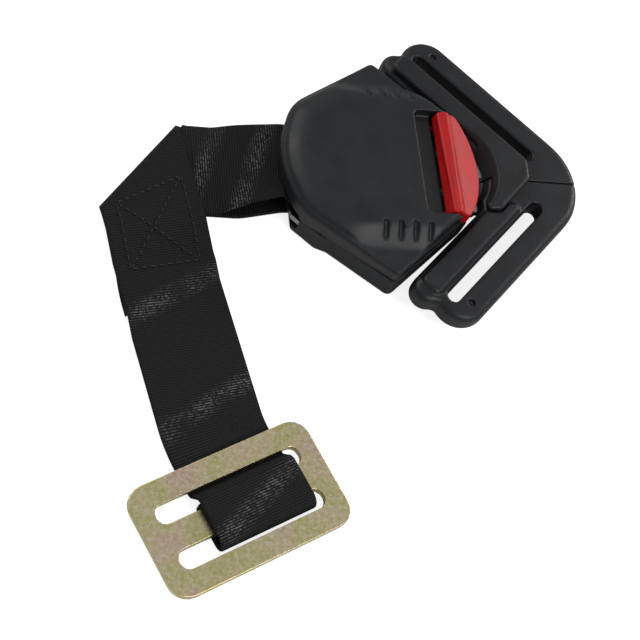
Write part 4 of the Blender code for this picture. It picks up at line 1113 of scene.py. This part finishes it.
def strap_grid(heading, length, final_slant):
    """Rows of ribbed sections along one half of the strap."""
    profile = section()
    outline = [(x, -share) for x, share in profile] + [(x, share) for x, share in reversed(profile[1:-1])]
    across = np.array([x for x, _ in outline])
    share = np.array([s for _, s in outline])
    count = round(length / ROW)
    rows = np.arange(count + 1) * (length / count)
    crest = np.where(np.arange(count + 1) % 2 == 0, 0.0, RIB_DEPTH)
    slope = math.tan(math.radians(final_slant)) * smooth_step(rows, length - END_RUN, length)
    along = rows[:, None] - slope[:, None] * across[None, :]
    height = (WEB_THICK / 2 - crest[:, None]) * share[None, :]
    wide = np.broadcast_to(across, along.shape)
    places = strap_points(along.ravel(), wide.ravel(), height.ravel(), heading)
    return places.reshape(*along.shape, 3), np.stack([heading * along, wide], 2)


def strap(material):
    """The whole strap from its slide end to its cut end, as one mesh with its flat places as UV."""
    slide_places, slide_uv = strap_grid(-1, SLIDE_LENGTH, 0.0)
    buckle_places, buckle_uv = strap_grid(1, BUCKLE_LENGTH, END_SLANT)
    places = np.concatenate([slide_places[::-1], buckle_places[1:]]) * MM
    uv = np.concatenate([slide_uv[::-1], buckle_uv[1:]])
    rows, ring = places.shape[:2]
    index = np.arange(rows * ring).reshape(rows, ring)
    ahead = np.roll(index, -1, 1)
    quads = np.stack([index[:-1], ahead[:-1], ahead[1:], index[1:]], 2).reshape(-1, 4)
    faces = quads.tolist() + [index[0][::-1].tolist(), index[-1].tolist()]
    mesh = bpy.data.meshes.new("strap")
    mesh.from_pydata(places.reshape(-1, 3).tolist(), [], faces)
    bm = bmesh.new()
    bm.from_mesh(mesh)
    bmesh.ops.recalc_face_normals(bm, faces=bm.faces)
    bm.to_mesh(mesh)
    bm.free()
    layer = mesh.uv_layers.new(name="webbing")
    corners = np.empty(len(mesh.loops), np.int32)
    mesh.loops.foreach_get("vertex_index", corners)
    layer.data.foreach_set("uv", uv.reshape(-1, 2)[corners].astype(np.float32).ravel())
    mesh.shade_smooth()
    mesh.materials.append(material)
    return add_object("woven_strap", mesh)


# Box and cross stitch through the layers below the fold, in the strap's own along and across

STITCH_BOX = [(37.0, -11.9), (29.6, 13.0), (61.0, 12.0), (61.0, -12.4)]
STITCH = 2.2
STITCH_GAP = 0.7
STITCH_STEPS = 6
THREAD_R = 0.34
THREAD_SIDES = 6


def stitch_run(start, end):
    """Stitches along a straight line of the strap, as pairs of ends."""
    start, end = np.array(start), np.array(end)
    length = np.linalg.norm(end - start)
    count = max(1, round(length / (STITCH + STITCH_GAP)))
    step = (end - start) / count
    lead = step * STITCH_GAP / (STITCH + STITCH_GAP) / 2
    return [(start + step * i + lead, start + step * (i + 1) - lead) for i in range(count)]


def add_stitch(bm, start, end):
    """One stitch, thin and sunk in at its ends."""
    share = np.linspace(0.0, 1.0, STITCH_STEPS + 1)
    line = start + (end - start) * share[:, None]
    sunk = THREAD_R * (1.6 * np.sin(np.pi * share) ** 0.5 - 1.0)
    # The strap's upper side is away from the table here, so its height is negative past the fold
    height = -(WEB_THICK / 2 - RIB_DEPTH / 2) - sunk
    path = strap_points(line[:, 0], line[:, 1], height, -1)
    turns = [2 * math.pi * k / THREAD_SIDES for k in range(THREAD_SIDES)]
    rings = []
    for i, point in enumerate(path):
        ahead = Vector(path[min(i + 1, STITCH_STEPS)] - path[max(i - 1, 0)]).normalized()
        side = ahead.cross(Vector((0, 0, 1))).normalized()
        up = side.cross(ahead)
        radius = THREAD_R * (0.55 + 0.45 * math.sin(math.pi * share[i]))
        rings.append([bm.verts.new(Vector(point) + (side * math.cos(t) + up * math.sin(t)) * radius)
                      for t in turns])
    for lower, upper in zip(rings, rings[1:]):
        for k in range(THREAD_SIDES):
            j = (k + 1) % THREAD_SIDES
            bm.faces.new((lower[k], lower[j], upper[j], upper[k]))
    bm.faces.new(list(reversed(rings[0])))
    bm.faces.new(rings[-1])


def stitching(material):
    a, b, c, d = STITCH_BOX
    bm = bmesh.new()
    for run in [(a, b), (b, c), (c, d), (d, a), (a, c), (b, d)]:
        for start, end in stitch_run(*run):
            add_stitch(bm, start, end)
    piece = mesh_object("box_stitching", bm, helper=False)
    piece.data.materials.append(material)
    piece.data.shade_smooth()
    return piece


def add_strap(slots):
    woven = strap(slots["webbing"])
    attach(woven, BODY)
    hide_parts("strap_webbing")
    stitches = stitching(thread())
    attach(stitches, BODY)


# Coil springs: node, joint, axis, fixed at its low end, travel

SPRINGS = [
    ("button_spring_left", "button_press", 0, True, 6.0),
    ("button_spring_right", "button_press", 0, True, 6.0),
    ("latch_spring", "latch_lift", 2, False, 4.5),
    ("ejector_spring", "ejector_push", 0, True, 0.8),
]


def compress_springs():
    """Finds each coil's reach along its axis and the end it is fixed at, and gives its node a mesh of its own;
    the coils keep their form.
    """
    for node, joint, axis, low_fixed, travel in SPRINGS:
        item = NODES[node]
        reach = [(item.matrix_world @ vertex.co)[axis] for vertex in item.data.vertices]
        low, high = min(reach), max(reach)
        direction, anchor = [0.0] * 3, [0.0] * 3
        direction[axis] = 1.0
        anchor[axis] = low if low_fixed else high
        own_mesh(item)


# Floor and light, in metres and watts

FLOOR_SIZE = 3.0
FLOOR_BELOW = 0.0002     # how far the floor lies under the part
FLOOR_GLOW = 0.80        # lifts the floor to white for the eye, not for the object
WORLD_STRENGTH = 0.30
LAMP_TARGET = (-0.01, -0.04, 0.0)

# Lamps: name, place, diameter, power
LAMPS = [
    ("front", (0.28, -0.45, 0.62), 0.32, 1.6),
    ("right", (0.80, 0.35, 0.42), 0.32, 1.8),
    ("back", (-0.35, 0.55, 0.65), 0.5, 1.6),
]


def add_floor():
    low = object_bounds()[0]
    bm = bmesh.new()
    bmesh.ops.create_grid(bm, x_segments=1, y_segments=1, size=FLOOR_SIZE)
    bm.transform(Matrix.Translation((0, 0, low[2] - FLOOR_BELOW)))
    mesh = bpy.data.meshes.new("floor")
    bm.to_mesh(mesh)
    bm.free()
    floor = add_object("floor", mesh)
    shader = Shader("floor", (0.82, 0.82, 0.82), 0.9)
    seen = shader.node("ShaderNodeLightPath").outputs["Is Camera Ray"]
    shader.set("Emission Color", (1.0, 1.0, 1.0, 1.0))
    shader.set("Emission Strength", shader.maths("MULTIPLY", seen, FLOOR_GLOW))
    mesh.materials.append(shader.material)


def add_lights():
    world = bpy.data.worlds.new("studio")
    world.use_nodes = True
    background = world.node_tree.nodes["Background"].inputs
    background["Color"].default_value = (1.0, 1.0, 1.0, 1.0)
    background["Strength"].default_value = WORLD_STRENGTH
    bpy.context.scene.world = world
    for name, at, size, power in LAMPS:
        data = bpy.data.lights.new(name, "AREA")
        data.shape = "DISK"
        data.size = size
        data.energy = power
        aim(add_object(name, data), Vector(at), Vector(LAMP_TARGET))
    bpy.context.scene.view_settings.view_transform = "Standard"


add_camera()
SLOTS = paint_nodes()
add_mouldings(SLOTS)
add_strap(SLOTS)
compress_springs()
add_floor()
add_lights()
